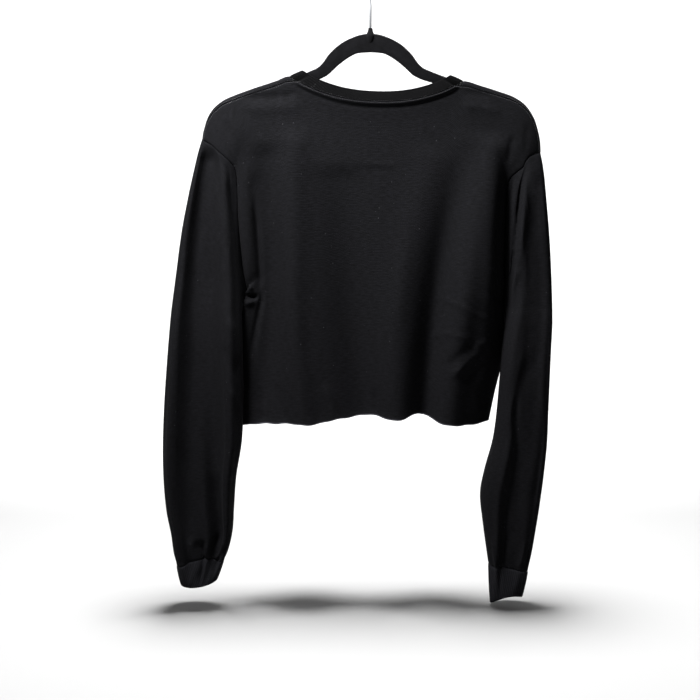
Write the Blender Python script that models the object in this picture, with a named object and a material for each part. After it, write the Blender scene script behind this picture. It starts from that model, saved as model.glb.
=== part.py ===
"""Long-sleeved cropped T-shirt hanging on a flocked hanger.

Sizes are in millimetres and the meshes are made in metres. +Z is up. The back of the shirt
faces -Y and its front faces +Y, so the wearer's left sleeve hangs at -X. The origin is the
point inside the hook's bend that lies on a rail. Every height is a negative distance below it.
"""
import math
from collections import namedtuple

import bmesh
import bpy
from mathutils import Vector

METRE = 0.001              # one millimetre in metres

CLOTH = 1.4                # wall of the jersey panels
RIB = 2.0                  # wall of the folded rib on neck and cuffs
SEAM_GAP = 0.3             # space between two pieces at a seam
CROSSING_GAP = 0.7         # and at the neck seam where it turns over the shoulder fold
FOLD_RADIUS = 5.0          # outer radius of the cloth where it turns over the hanger

SHOULDER_CELLS = 9         # cells along one shoulder seam
BACK_NECK_CELLS = 12       # cells along the back neck seam
FRONT_NECK_CELLS = 10      # cells along the front neck seam, between the shoulder folds
ARMHOLE_CELLS = 12         # cells down one side of an armhole
SIDE_CELLS = 9             # cells down a side seam
WRAP_CELLS = 4             # cells over the shoulder fold
SLEEVE_CELLS = 20          # cells down a sleeve
CUFF_CELLS = 3             # cells down a cuff
BAND_CELLS = 2             # cells across the neckband
ARMHOLE_CROWDING = 1.25    # rows lie closer together near the shoulder tip
EDGE_CROWDING = 0.62       # columns lie closer together near the side seams
RELEASE_FALL = 0.5         # columns follow the shoulders down to this share of the fall

# Top of the cloth where it folds over the hanger, from the left shoulder tip to the right one.
Crest = namedtuple("Crest", "across height")
SHOULDER_FOLD = (
    Crest(-222, -229), Crest(-219, -218), Crest(-214, -207), Crest(-207, -196.5),
    Crest(-195, -186), Crest(-181, -178.5), Crest(-153, -167.5), Crest(-125, -157.5),
    Crest(-108, -151.5), Crest(121, -157.5), Crest(145, -164.5), Crest(166, -171.5),
    Crest(187, -179.5), Crest(202, -190), Crest(210, -201), Crest(216, -213),
    Crest(221, -232), Crest(222.5, -245),
)
SEAM_DROP_AT_NECK = 7.0    # shoulder seam below the fold, beside the neckband
SEAM_DROP_AT_TIP = 5.0     # and at the armhole

# Armhole and side seam of each panel: where it runs, and how far it lies towards the front.
Edge = namedtuple("Edge", "height across back front")
LEFT_EDGE = (
    Edge(-234, -222, -5, 5), Edge(-240, -211, -10, 10), Edge(-247, -203, -13, 12),
    Edge(-255, -193.5, -15, 13), Edge(-262, -186, -14, 12), Edge(-271, -179.5, -10, 10),
    Edge(-292, -177.5, -8, 8), Edge(-335, -176.5, -8, 8), Edge(-390, -172.5, -7, 8),
    Edge(-422, -168.5, -6, 7), Edge(-435, -166, 0, 0), Edge(-441, -166.5, 5, 5),
    Edge(-448, -169, 9, 9), Edge(-462, -176, 14, 14), Edge(-480, -181, 16, 16),
    Edge(-520, -184, 17, 17), Edge(-570, -184.5, 16, 16), Edge(-617, -184, 15, 15),
)
RIGHT_EDGE = (
    Edge(-250, 222.5, -5, 5), Edge(-254, 211, -10, 10), Edge(-261, 204, -13, 12),
    Edge(-270, 199, -14, 13), Edge(-278, 189.5, -13, 12), Edge(-285, 183, -11, 10),
    Edge(-296, 179.5, -8, 8), Edge(-335, 178, -8, 8), Edge(-390, 177.5, -7, 8),
    Edge(-435, 178.5, -6, 7), Edge(-451, 178.5, 0, 0), Edge(-457, 178.5, 5, 5),
    Edge(-465, 179.5, 9, 9), Edge(-480, 181, 12, 12), Edge(-505, 180, 13, 13),
    Edge(-533, 176.5, 12, 12), Edge(-570, 169.5, 10, 10), Edge(-612, 162, 8, 8),
)
LEFT_UNDERARM = -435.0
RIGHT_UNDERARM = -451.0

# How far each panel stands from the hanger's plane, by its distance below the shoulder fold.
Bulge = namedtuple("Bulge", "below back front")
BODY_BULGE = (
    Bulge(5, 5, 5), Bulge(30, 8, 8), Bulge(60, 12, 12), Bulge(120, 20, 19),
    Bulge(200, 29, 27), Bulge(290, 36, 34), Bulge(380, 41, 39), Bulge(480, 45, 43),
)
# How square the body's section is, by height: high at the armholes, rounder at the hem.
Squareness = namedtuple("Squareness", "height power")
BODY_SQUARENESS = (
    Squareness(-617, 3.4), Squareness(-520, 3.8), Squareness(-460, 6.0), Squareness(-420, 9.0),
    Squareness(-230, 9.0),
)
# Height of the cut hem across the body.
Hem = namedtuple("Hem", "across height")
BACK_HEM = (
    Hem(-184, -617), Hem(-150, -612), Hem(-115, -608), Hem(-85, -608), Hem(-40, -602),
    Hem(-8, -598), Hem(35, -601), Hem(66, -597), Hem(100, -609), Hem(130, -611), Hem(162, -612),
)
FRONT_HEM = (
    Hem(-184, -617), Hem(-120, -611), Hem(-60, -609), Hem(0, -604), Hem(60, -607),
    Hem(120, -610), Hem(162, -612),
)

# Soft folds: a line from top to bottom with its place at three heights, half its width, and
# how far it stands out (or in, below zero) at the same three heights.
Fold = namedtuple("Fold", "top bottom x_top x_middle x_bottom reach out_top out_middle out_bottom")
BACK_FOLDS = (
    Fold(-251, -600, 100, 74, 64, 14, -3, -9, -20),
    Fold(-300, -612, 128, 122, 116, 24, 1, 5, 7),
    Fold(-300, -602, 30, 28, 36, 26, 1, 6, 10),
    Fold(-380, -600, -60, -38, -12, 24, -1, -5, -8),
    Fold(-240, -610, -105, -126, -94, 28, 2, 5, 8),
    Fold(-300, -560, -155, -152, -170, 9, -3, -9, -6),
)
FRONT_FOLDS = (
    Fold(-330, -605, 20, 6, -8, 30, -1, -7, -11),
    Fold(-300, -608, -75, -80, -86, 28, 1, 6, 10),
    Fold(-310, -608, 70, 82, 90, 26, 1, 6, 9),
    Fold(-320, -612, -130, -133, -136, 16, -1, -5, -8),
    Fold(-330, -612, 128, 126, 124, 15, -1, -5, -9),
)
FOLD_FADE = 30.0           # height over which a fold dies away past its two ends

# Neck opening: seam of the band and the band's free edge, each an oval over the shoulder fold.
NECK_SEAM_LEFT = -108.0
NECK_SEAM_RIGHT = 121.0
NECK_SEAM_DIP_BACK = 31.0
NECK_SEAM_DIP_FRONT = 90.0
BAND_EDGE_LEFT = -91.0
BAND_EDGE_RIGHT = 104.0
BAND_EDGE_HEIGHT_LEFT = -144.0
BAND_EDGE_HEIGHT_RIGHT = -150.0
BAND_EDGE_DIP_BACK = 23.5
BAND_EDGE_DIP_FRONT = 79.0
BAND_EDGE_CORNER_LEFT = -84.5
BAND_EDGE_CORNER_RIGHT = 97.5
BAND_EDGE_LEAN = 3.2       # the free edge comes this near to the hanger's plane at the middle
LEAN_START = 0.35          # share of the dip below which it starts to
BAND_FOOT_BACK = 3.5       # the free edge drops this much from the fold to the band's back
BAND_FOOT_FRONT = 6.5      # and to its front
NECK_ROUNDNESS = 2.3
TIP_LEAN = 0.3             # the armhole seam's wall leans this much towards the body
TIP_TURN = 0.88            # and over the fold at the tip: this much sideways
TIP_FALL = 0.47            # and this much downwards
SHARED_STEPS = 4           # steps down from the tip over which that lean is kept
TURNING_COLUMNS = 4        # columns over which the shoulder seam's wall takes that lean up
NECK_TILT = 0.93           # the neck seam's wall leans a little downwards on its way inwards
CORNER_LEFT = -101.0       # neck ends of the two shoulder seams
CORNER_RIGHT = 114.0
CORNER_SPREAD = 1.5        # columns beside the neck lie this far apart on the shoulder fold
NECK_RISE = 2.5            # the panel swells this much towards the neck seam
NECK_RISE_REACH = 14.0

# Sleeves: outer and inner edge seen from behind, the section's middle and half its depth.
Section = namedtuple("Section", "height outer inner middle depth")
LEFT_SLEEVE = (
    Section(-806, -264, -205, -20, 25), Section(-790, -270, -197.5, -21, 27),
    Section(-765, -273, -191, -22, 29), Section(-730, -278.5, -187.5, -24, 30),
    Section(-685, -281, -185.5, -26, 31), Section(-634, -280, -177.5, -27, 31),
    Section(-576, -276, -173, -27, 32), Section(-513, -270, -171.5, -26, 32),
    Section(-480, -267, -172, -24, 31), Section(-459, -265, -172.5, -19, 31),
    Section(-435, -262, -173, -10, 30), Section(-412, -259, -174, -6, 29),
    Section(-353, -250, -179, -3, 26), Section(-311, -241, -183.5, -2, 23),
    Section(-275, -232.5, -186.5, -2, 18), Section(-250, -228, -192, -1, 12),
    Section(-229, -224, -205, 0, 6),
)
RIGHT_SLEEVE = (
    Section(-815, 218.5, 167, -16, 24), Section(-790, 223.5, 162.5, -17, 26),
    Section(-753, 229, 157, -18, 28), Section(-711, 234, 152.5, -19, 30),
    Section(-678, 237, 156.5, -20, 31), Section(-635, 239, 167, -20, 32),
    Section(-591, 240, 171, -20, 33), Section(-530, 241, 175, -19, 33),
    Section(-500, 242, 177, -19, 32), Section(-476, 242, 179.5, -15, 32),
    Section(-451, 241.5, 181.5, -8, 30), Section(-400, 239, 182.5, -4, 27),
    Section(-354, 236, 182, -3, 24),
    Section(-303, 231, 184, -2, 20), Section(-271, 228, 191, -1, 14),
    Section(-245, 224, 206, 0, 6),
)
SLEEVE_ROUNDNESS = 2.4     # power of the section's oval
SEAM_HOLD = 0.11           # share of the sleeve over which it leaves the armhole's line
CREVICE_TURN = 0.46        # part of the way round at which the armhole lies beside the body
TIP_ROUND = 0.04           # part of the way round at which its back and front leave the tip
WRAP_ROUND = 0.02          # part of the way round between two points over the fold
UNDERARM_REACH = 45.0      # height over which it turns to the sleeve's inner edge
COLUMNS_SETTLE = 0.6       # share of the sleeve over which its columns become evenly spaced

# Soft folds of a sleeve: as above, but placed by the part of the way round, from the outer edge
# (0) over the back (0.25) to the inner edge (0.5) and the front (0.75).
LEFT_SLEEVE_FOLDS = (
    Fold(-300, -620, 0.236, 0.235, 0.32, 0.05, 3, 5, 3),
    Fold(-300, -640, 0.158, 0.165, 0.22, 0.045, -4, -6, -3),
    Fold(-420, -760, 0.70, 0.72, 0.69, 0.06, -3, -9, -5),
    Fold(-560, -806, 0.40, 0.37, 0.30, 0.05, -1, -4, -7),
)
RIGHT_SLEEVE_FOLDS = (
    Fold(-285, -430, 0.33, 0.37, 0.43, 0.04, -5, -8, -4),
    Fold(-600, -815, 0.317, 0.305, 0.35, 0.045, -2, -6, -6),
    Fold(-380, -700, 0.17, 0.19, 0.16, 0.05, -1, -3, -2),
    Fold(-420, -760, 0.72, 0.70, 0.73, 0.06, -3, -9, -5),
)

# Cuffs: the lower edge's outer and inner end, its heights there, and how far its middle is cut up.
Cuff = namedtuple("Cuff", "outer inner outer_height inner_height lift middle depth")
LEFT_CUFF = Cuff(-261, -213, -842, -836, 0, -20, 22)
RIGHT_CUFF = Cuff(213, 170, -859, -866, 9, -16, 20)
CUFF_SEAM_TILT = 4.5       # cuff seam this much lower at its outer end than in its middle

# Hanger: top and bottom of its outline by the distance from its centre line.
Rail = namedtuple("Rail", "out top bottom")
HANGER_CENTRE = -1.5
HANGER_OUTLINE = (
    Rail(0, -97, -121), Rail(10, -98, -121.5), Rail(19, -100.5, -123), Rail(31, -105.5, -129.5),
    Rail(43, -113, -138.5), Rail(55, -124.5, -149.5), Rail(61, -133, -153),
    Rail(68, -140, -156), Rail(78, -144.7, -159), Rail(90, -149.4, -163),
    Rail(106, -155, -169), Rail(124, -161.2, -175.5), Rail(152, -170.8, -186),
    Rail(179, -181.6, -197), Rail(194, -189.6, -206), Rail(205, -199.8, -215),
    Rail(211.5, -211.5, -221),
)
HANGER_THICKNESS = 5.0
HANGER_EDGE_ROUND = 1.9
Turned = namedtuple("Turned", "radius height")
COLLAR_PROFILE = (         # round collar that holds the wire, fading into the flat body
    Turned(2.4, -90), Turned(3.3, -93.5), Turned(5.2, -98), Turned(5.4, -101),
    Turned(4.2, -106), Turned(1.5, -111),
)
COLLAR_SIDES = 16
HOOK_WIRE = 3.2            # wire diameter
HOOK_INNER_RADIUS = 20.0
HOOK_TIP_ANGLE = -38.0     # where the arc starts, from the +X direction
HOOK_NECK_ANGLE = 230.0    # where it turns into the shank
HOOK_STEP_ANGLE = 9.0      # degrees of bend between two points

MATERIALS = {              # base colour, roughness, metallic
    "jersey": ((0.0125, 0.0125, 0.0135), 0.9, 0.0),
    "rib": ((0.012, 0.012, 0.0128), 0.92, 0.0),
    "flock": ((0.006, 0.006, 0.006), 1.0, 0.0),
    "wire": ((0.55, 0.56, 0.58), 0.28, 1.0),
}


# ---------------------------------------------------------------- curves through the tables

def sample(rows, key):
    """Values of a table's other columns at a key, on a smooth curve through its rows."""
    keys = [row[0] for row in rows]
    if key <= keys[0]:
        return rows[0][1:]
    if key >= keys[-1]:
        return rows[-1][1:]
    right = next(n for n, value in enumerate(keys) if value >= key)
    left = right - 1
    step = keys[right] - keys[left]
    t = (key - keys[left]) / step
    before = max(left - 1, 0)
    after = min(right + 1, len(rows) - 1)
    values = []
    for column in range(1, len(rows[0])):
        a = rows[left][column]
        b = rows[right][column]
        slope_a = (b - rows[before][column]) / (keys[right] - keys[before]) * step
        slope_b = (rows[after][column] - a) / (keys[after] - keys[left]) * step
        cubic = 2 * t ** 3 - 3 * t ** 2
        values.append(a * (1 + cubic) - b * cubic
                      + slope_a * (t ** 3 - 2 * t ** 2 + t) + slope_b * (t ** 3 - t ** 2))
    return values


def mix(a, b, share):
    return a + (b - a) * share


def ease(t):
    t = min(max(t, 0.0), 1.0)
    return t * t * (3 - 2 * t)


def three_points(t, first, middle, last):
    """Parabola through three values at 0, 0.5 and 1."""
    return (first * (1 - t) * (1 - 2 * t) + middle * 4 * t * (1 - t) + last * t * (2 * t - 1))


def fold_relief(folds, across, height):
    """Sum of the folds at a point, positive outwards."""
    total = 0.0
    for fold in folds:
        t = (fold.top - height) / (fold.top - fold.bottom)
        past = max(height - fold.top, fold.bottom - height, 0.0)
        inside = min(max(t, 0.0), 1.0)
        centre = three_points(inside, fold.x_top, fold.x_middle, fold.x_bottom)
        out = three_points(inside, fold.out_top, fold.out_middle, fold.out_bottom)
        fade = 1 - ease(past / FOLD_FADE)
        total += out * fade * math.exp(-((across - centre) / fold.reach) ** 2)
    return total


# ------------------------------------------------------------------------- body and neck

LEFT_UP = tuple(reversed(LEFT_EDGE))      # tables read by rising height
RIGHT_UP = tuple(reversed(RIGHT_EDGE))
LEFT_TIP = LEFT_EDGE[0]
RIGHT_TIP = RIGHT_EDGE[0]


def fold_height(across):
    """Height of the shoulder fold, and of a line carried on across the neck opening."""
    return sample(SHOULDER_FOLD, across)[0]


def seam_drop(across):
    """How far the shoulder seam lies below the fold, on the back."""
    if across < 0:
        share = (across - CORNER_LEFT) / (LEFT_TIP.across - CORNER_LEFT)
    else:
        share = (across - CORNER_RIGHT) / (RIGHT_TIP.across - CORNER_RIGHT)
    return mix(SEAM_DROP_AT_NECK, SEAM_DROP_AT_TIP, min(max(share, 0.0), 1.0))


def wrap_length(across):
    return math.pi * FOLD_RADIUS + 2 * (seam_drop(across) - FOLD_RADIUS)


def over_the_fold(across, travel):
    """Depth and height after some travel from the shoulder seam, over the fold to the front."""
    leg = seam_drop(across) - FOLD_RADIUS
    centre = fold_height(across) - FOLD_RADIUS
    if travel < leg:
        return -FOLD_RADIUS, centre - leg + travel
    angle = (travel - leg) / FOLD_RADIUS
    if angle < math.pi:
        return -FOLD_RADIUS * math.cos(angle), centre + FOLD_RADIUS * math.sin(angle)
    return FOLD_RADIUS, centre - (travel - leg - math.pi * FOLD_RADIUS)


def neck_oval(left, right, share):
    """Place across and relative dip on an oval opening, for a share of its half turn."""
    middle = (left + right) / 2
    reach = (right - left) / 2
    across = middle - reach * math.cos(math.pi * share)
    return across, 1 - abs(math.cos(math.pi * share)) ** NECK_ROUNDNESS


def neck_dip(across, left, right):
    reach = abs(across - (left + right) / 2) / ((right - left) / 2)
    return 1 - min(reach, 1.0) ** NECK_ROUNDNESS


def back_neck_height(across):
    dip = NECK_SEAM_DIP_BACK * neck_dip(across, NECK_SEAM_LEFT, NECK_SEAM_RIGHT)
    return fold_height(across) - dip


def front_neck_height(across):
    """The front neck seam starts at the foot of the shoulder fold."""
    dip = NECK_SEAM_DIP_FRONT * neck_dip(across, NECK_SEAM_LEFT, NECK_SEAM_RIGHT)
    return fold_height(across) - SEAM_DROP_AT_NECK - dip


def panel_depth(face, across, height, share_across, edge_depth):
    """Signed Y of a panel, which runs from its edge's own depth to the body's full bulge."""
    sign = -1 if face == "back" else 1
    below = max(fold_height(across) - height, 0.0)
    bulge = sample(BODY_BULGE, below)
    full = bulge[0] if face == "back" else bulge[1]
    full += fold_relief(BACK_FOLDS if face == "back" else FRONT_FOLDS, across, height)
    neck = back_neck_height(across) if face == "back" else front_neck_height(across)
    if NECK_SEAM_LEFT < across < NECK_SEAM_RIGHT:
        share_of_dip = neck_dip(across, NECK_SEAM_LEFT, NECK_SEAM_RIGHT)
        nearness = max(neck - height, 0.0) / NECK_RISE_REACH
        full += NECK_RISE * share_of_dip * math.exp(-nearness ** 2)
    power = sample(BODY_SQUARENESS, height)[0]
    profile = max(1 - min(abs(share_across), 1.0) ** power, 0.0) ** 0.5
    return edge_depth * (1 - profile) + sign * full * profile


def crowded(part, cells, power):
    return (part / cells) ** power


def edge_heights(tip, underarm, hem):
    """Heights of the rows along a panel's edge, from the shoulder tip to the hem."""
    down_armhole = [mix(tip, underarm, crowded(n, ARMHOLE_CELLS, ARMHOLE_CROWDING))
                    for n in range(ARMHOLE_CELLS + 1)]
    down_side = [mix(underarm, hem, n / SIDE_CELLS) for n in range(1, SIDE_CELLS + 1)]
    return down_armhole + down_side


LEFT_HEIGHTS = edge_heights(LEFT_TIP.height, LEFT_UNDERARM, LEFT_EDGE[-1].height)
RIGHT_HEIGHTS = edge_heights(RIGHT_TIP.height, RIGHT_UNDERARM, RIGHT_EDGE[-1].height)
NECK_CELLS = {"back": BACK_NECK_CELLS, "front": FRONT_NECK_CELLS + 2 * WRAP_CELLS}


def shoulder_places(corner, tip):
    """Places across that divide a shoulder fold into equal lengths, from its tip inwards."""
    steps = 60
    line = [Vector((mix(tip, corner, n / steps), fold_height(mix(tip, corner, n / steps))))
            for n in range(steps + 1)]
    lengths = [0.0]
    for a, b in zip(line, line[1:]):
        lengths.append(lengths[-1] + (b - a).length)
    places = []
    for cell in range(SHOULDER_CELLS):
        goal = lengths[-1] * cell / SHOULDER_CELLS
        n = max(index for index, length in enumerate(lengths[:-1]) if length <= goal)
        share = (goal - lengths[n]) / (lengths[n + 1] - lengths[n])
        places.append(mix(line[n].x, line[n + 1].x, share))
    return places


def corner_lean(step):
    """How far the neck seam has leant outwards as it climbs from the corner over the fold."""
    lean = CORNER_LEFT - NECK_SEAM_LEFT
    return lean * math.sin(math.pi / 2 * min(2 * step / WRAP_CELLS, 1.0))


def top_places(face):
    """Place across of each column at the panel's top edge."""
    places = shoulder_places(CORNER_LEFT, LEFT_TIP.across)
    if face == "back":
        for n in range(BACK_NECK_CELLS + 1):
            even = n / BACK_NECK_CELLS
            round_off = 0.5 - 0.5 * math.cos(math.pi * even)
            places.append(mix(CORNER_LEFT, CORNER_RIGHT, (even + round_off) / 2))
    else:
        places += [CORNER_LEFT - corner_lean(step) for step in range(WRAP_CELLS)]
        for n in range(FRONT_NECK_CELLS + 1):
            across, _ = neck_oval(NECK_SEAM_LEFT, NECK_SEAM_RIGHT, n / FRONT_NECK_CELLS)
            places.append(across)
        places += [CORNER_RIGHT + corner_lean(step) for step in reversed(range(WRAP_CELLS))]
    places += reversed(shoulder_places(CORNER_RIGHT, RIGHT_TIP.across))
    return places


def low_share(column, columns):
    """Share across (-1 to 1) that a column takes below the shoulders."""
    even = -1 + 2 * column / columns
    return (1 - EDGE_CROWDING) * even + EDGE_CROWDING * math.sin(math.pi / 2 * even)


def held_place(face, row, column, tops, left_shift, right_shift):
    """Place across of a column while it still follows the shoulders and the neck."""
    last = len(tops) - 1
    on_left = column < last / 2
    steps = column if on_left else last - column
    outwards = -1 if on_left else 1
    corner = CORNER_LEFT if on_left else CORNER_RIGHT
    wrapped = min(row, WRAP_CELLS) if face == "front" else 0
    if steps < SHOULDER_CELLS:
        tip = LEFT_TIP.across if on_left else RIGHT_TIP.across
        share = (tops[column] - corner) / (tip - corner)
        spread = corner_lean(wrapped) + CORNER_SPREAD * wrapped
        shift = left_shift if on_left else right_shift
        return tops[column] + shift * share + outwards * spread * (1 - share)
    if face == "back" or steps > SHOULDER_CELLS + WRAP_CELLS:
        return tops[column]
    start = steps - SHOULDER_CELLS
    rows_down = min(wrapped, WRAP_CELLS - start)
    return corner + outwards * (corner_lean(start + rows_down) + CORNER_SPREAD * rows_down)


def panel_points(face):
    """Outer points of the back or front panel, row by row from the shoulder seam to the hem."""
    depth_column = 1 if face == "back" else 2
    wrap_rows = 0 if face == "back" else WRAP_CELLS
    tops = top_places(face)
    last = len(tops) - 1
    rows = []
    for row in range(wrap_rows + ARMHOLE_CELLS + SIDE_CELLS + 1):
        edge_row = max(row - wrap_rows, 0)
        left_height = LEFT_HEIGHTS[edge_row]
        right_height = RIGHT_HEIGHTS[edge_row]
        left = sample(LEFT_UP, left_height)
        right = sample(RIGHT_UP, right_height)
        left_fall = (LEFT_HEIGHTS[0] - left_height) / (LEFT_HEIGHTS[0] - LEFT_HEIGHTS[-1])
        right_fall = (RIGHT_HEIGHTS[0] - right_height) / (RIGHT_HEIGHTS[0] - RIGHT_HEIGHTS[-1])
        release = (1 - min((left_fall + right_fall) / 2 / RELEASE_FALL, 1.0)) ** 2
        points = []
        for column, top in enumerate(tops):
            held = held_place(face, row, column, tops, left[0] - LEFT_TIP.across,
                              right[0] - RIGHT_TIP.across)
            low = mix(left[0], right[0], (low_share(column, last) + 1) / 2)
            across = mix(low, held, release)
            share = (across - left[0]) / (right[0] - left[0])
            place = Place(row, column, across, 2 * share - 1, mix(left_fall, right_fall, share),
                          mix(left[depth_column], right[depth_column], share), top)
            points.append(panel_point(face, place))
        if row >= wrap_rows:
            points[0] = Vector((left[0], left[depth_column], left_height))
            points[-1] = Vector((right[0], right[depth_column], right_height))
        rows.append(points)
    return rows


Place = namedtuple("Place", "row column across share fall edge_depth top")


def top_travel(face, column, top):
    """Travel from the shoulder seam at which a column of the front panel starts."""
    from_left = column - SHOULDER_CELLS
    from_right = SHOULDER_CELLS + NECK_CELLS[face] - column
    nearest = min(from_left, from_right)
    if nearest <= 0:
        return 0.0
    if nearest < WRAP_CELLS:
        return wrap_length(top) * nearest / WRAP_CELLS
    return wrap_length(top) + fold_height(top) - seam_drop(top) - front_neck_height(top)


def panel_point(face, place):
    """Outer point of a panel at a place on its grid."""
    hem = sample(BACK_HEM if face == "back" else FRONT_HEM, place.across)[0]
    top = place.top
    seam = fold_height(top) - seam_drop(top)
    if face == "back":
        on_neck = SHOULDER_CELLS <= place.column <= SHOULDER_CELLS + BACK_NECK_CELLS
        start = min(back_neck_height(top), seam) if on_neck else seam
        if place.row == 0 and start == seam:
            return Vector((top, -FOLD_RADIUS, seam))
        height = mix(start, hem, place.fall)
    else:
        wrap = wrap_length(top)
        total = wrap + seam - hem
        wrapped = wrap * min(place.row, WRAP_CELLS) / WRAP_CELLS
        row_share = (wrapped + (seam - hem) * place.fall) / total
        travel = mix(top_travel(face, place.column, top), total, row_share)
        if travel < wrap:
            depth, height = over_the_fold(place.across, travel)
            return Vector((place.across, depth, height))
        height = seam - (travel - wrap)
    depth = panel_depth(face, place.across, height, place.share, place.edge_depth)
    return Vector((place.across, depth, height))


# ------------------------------------------------------------------------------- sleeves

def side_tables(side):
    if side == "left":
        return LEFT_UP, LEFT_HEIGHTS, LEFT_TIP, LEFT_SLEEVE, LEFT_SLEEVE_FOLDS
    return RIGHT_UP, RIGHT_HEIGHTS, RIGHT_TIP, RIGHT_SLEEVE, RIGHT_SLEEVE_FOLDS


def towards_body(side):
    return 1 if side == "left" else -1


def armhole_loop(side):
    """Points of the armhole seam: down its back, up its front and over the shoulder fold."""
    edge, heights, tip, _, _ = side_tables(side)
    back = []
    front = []
    for height in heights[:ARMHOLE_CELLS + 1]:
        across, back_depth, front_depth = sample(edge, height)
        back.append(Vector((across, back_depth, height)))
        front.append(Vector((across, front_depth, height)))
    wrap = []
    for n in range(1, WRAP_CELLS):
        travel = wrap_length(tip.across) * n / WRAP_CELLS
        depth, height = over_the_fold(tip.across, travel)
        wrap.append(Vector((tip.across, depth, height)))
    return back + front[-2::-1] + wrap[::-1]


RING_CELLS = 2 * ARMHOLE_CELLS + WRAP_CELLS


def ring_turn(index):
    """Even part of the way round for a ring's point; the fold's top is at 0."""
    return ((index + WRAP_CELLS / 2) / RING_CELLS) % 1.0


def sleeve_section(side, turn, height):
    """Point of the sleeve's own column at a part of the way round and a height."""
    _, _, _, sections, folds = side_tables(side)
    outer, inner, middle, depth = sample(sections, height)
    centre = (outer + inner) / 2
    half = (outer - inner) / 2
    angle = 2 * math.pi * turn
    cosine = math.cos(angle)
    sine = math.sin(angle)
    power = 2 / SLEEVE_ROUNDNESS
    relief = fold_relief(folds, turn, height)
    sideways = math.copysign(abs(cosine) ** power, cosine) * (half + math.copysign(relief, half))
    backwards = math.copysign(abs(sine) ** power, sine) * (depth + relief)
    return Vector((centre + sideways, middle - backwards, height))


def armhole_turn(side, point, index):
    """Part of the way round at which a point of the armhole lies on the sleeve's column."""
    if index > 2 * ARMHOLE_CELLS:
        steps_from_top = index - (2 * ARMHOLE_CELLS + WRAP_CELLS / 2)
        return (steps_from_top * WRAP_ROUND) % 1.0
    _, heights, _, sections, _ = side_tables(side)
    outer, inner, _, _ = sample(sections, point.z)
    centre = (outer + inner) / 2
    half = (outer - inner) / 2
    cosine = min(max((point.x - centre) / half, -1.0), 1.0)
    turn = min(math.acos(cosine) / (2 * math.pi), CREVICE_TURN)
    underarm = heights[ARMHOLE_CELLS]
    turn = mix(0.5, turn, ease((point.z - underarm) / UNDERARM_REACH))
    turn = max(turn, TIP_ROUND)
    return turn if index <= ARMHOLE_CELLS else 1 - turn


def cuff_seam_height(side, turn):
    """The cuff seam dips towards the sleeve's outer edge."""
    _, _, _, sections, _ = side_tables(side)
    return sections[0].height - CUFF_SEAM_TILT * math.cos(2 * math.pi * turn)


def sleeve_points(side):
    """Outer points of a sleeve: rings that start as the armhole loop and end level at the cuff."""
    loop = armhole_loop(side)
    starts = [armhole_turn(side, point, n) for n, point in enumerate(loop)]
    offsets = [point - sleeve_section(side, turn, point.z)
               for point, turn in zip(loop, starts)]
    rings = []
    for row in range(SLEEVE_CELLS + 1):
        share = row / SLEEVE_CELLS
        ring = []
        for n, point in enumerate(loop):
            start = starts[n]
            end = ring_turn(n)
            if start - end > 0.5:
                start -= 1.0
            if end - start > 0.5:
                end -= 1.0
            turn = mix(start, end, ease(share / COLUMNS_SETTLE))
            height = mix(point.z, cuff_seam_height(side, ring_turn(n)), share)
            hold = max(1 - share / SEAM_HOLD, 0.0) ** 2
            ring.append(sleeve_section(side, turn % 1.0, height) + offsets[n] * hold)
        rings.append(ring)
    return rings


def cuff_points(side):
    cuff = LEFT_CUFF if side == "left" else RIGHT_CUFF
    top = sleeve_points(side)[-1]
    centre = (cuff.outer + cuff.inner) / 2
    half = (cuff.outer - cuff.inner) / 2
    rings = []
    for row in range(CUFF_CELLS + 1):
        share = row / CUFF_CELLS
        ring = []
        for n, start in enumerate(top):
            angle = 2 * math.pi * ring_turn(n)
            cosine = math.cos(angle)
            height = mix(cuff.inner_height, cuff.outer_height, (cosine + 1) / 2)
            height += cuff.lift * math.sin(angle) ** 2
            end = Vector((centre + half * cosine, cuff.middle - cuff.depth * math.sin(angle),
                          height))
            ring.append(start.lerp(end, share))
        rings.append(ring)
    return rings


# ------------------------------------------------------------------------------ neckband

def band_points(back, front):
    """Outer points of the neckband: from the panels' neck edges to the band's free edge."""
    first = SHOULDER_CELLS
    back_last = first + NECK_CELLS["back"]
    front_last = first + NECK_CELLS["front"]
    seam = [back[0][n] for n in range(first, back_last + 1)]
    seam += [front[0][n] for n in range(front_last - 1, first, -1)]
    edge = []
    for point in seam[:BACK_NECK_CELLS + 1]:
        span = (point.x - CORNER_LEFT) / (CORNER_RIGHT - CORNER_LEFT)
        edge.append(band_edge_back(mix(BAND_EDGE_CORNER_LEFT, BAND_EDGE_CORNER_RIGHT, span)))
    edge += [band_edge_fold("right", step) for step in range(1, WRAP_CELLS)]
    for n in range(FRONT_NECK_CELLS + 1):
        edge.append(band_edge_front(1 - n / FRONT_NECK_CELLS))
    edge += [band_edge_fold("left", step) for step in range(WRAP_CELLS - 1, 0, -1)]
    return [[a.lerp(b, row / BAND_CELLS) for a, b in zip(seam, edge)]
            for row in range(BAND_CELLS + 1)]


def band_chord(across):
    share = (across - BAND_EDGE_LEFT) / (BAND_EDGE_RIGHT - BAND_EDGE_LEFT)
    return mix(BAND_EDGE_HEIGHT_LEFT, BAND_EDGE_HEIGHT_RIGHT, share)


def band_edge_back(across):
    dip = neck_dip(across, BAND_EDGE_LEFT, BAND_EDGE_RIGHT)
    lean = (FOLD_RADIUS - BAND_EDGE_LEAN) * ease((dip - LEAN_START) / (1 - LEAN_START))
    return Vector((across, lean - FOLD_RADIUS, band_chord(across) - BAND_EDGE_DIP_BACK * dip))


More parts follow.
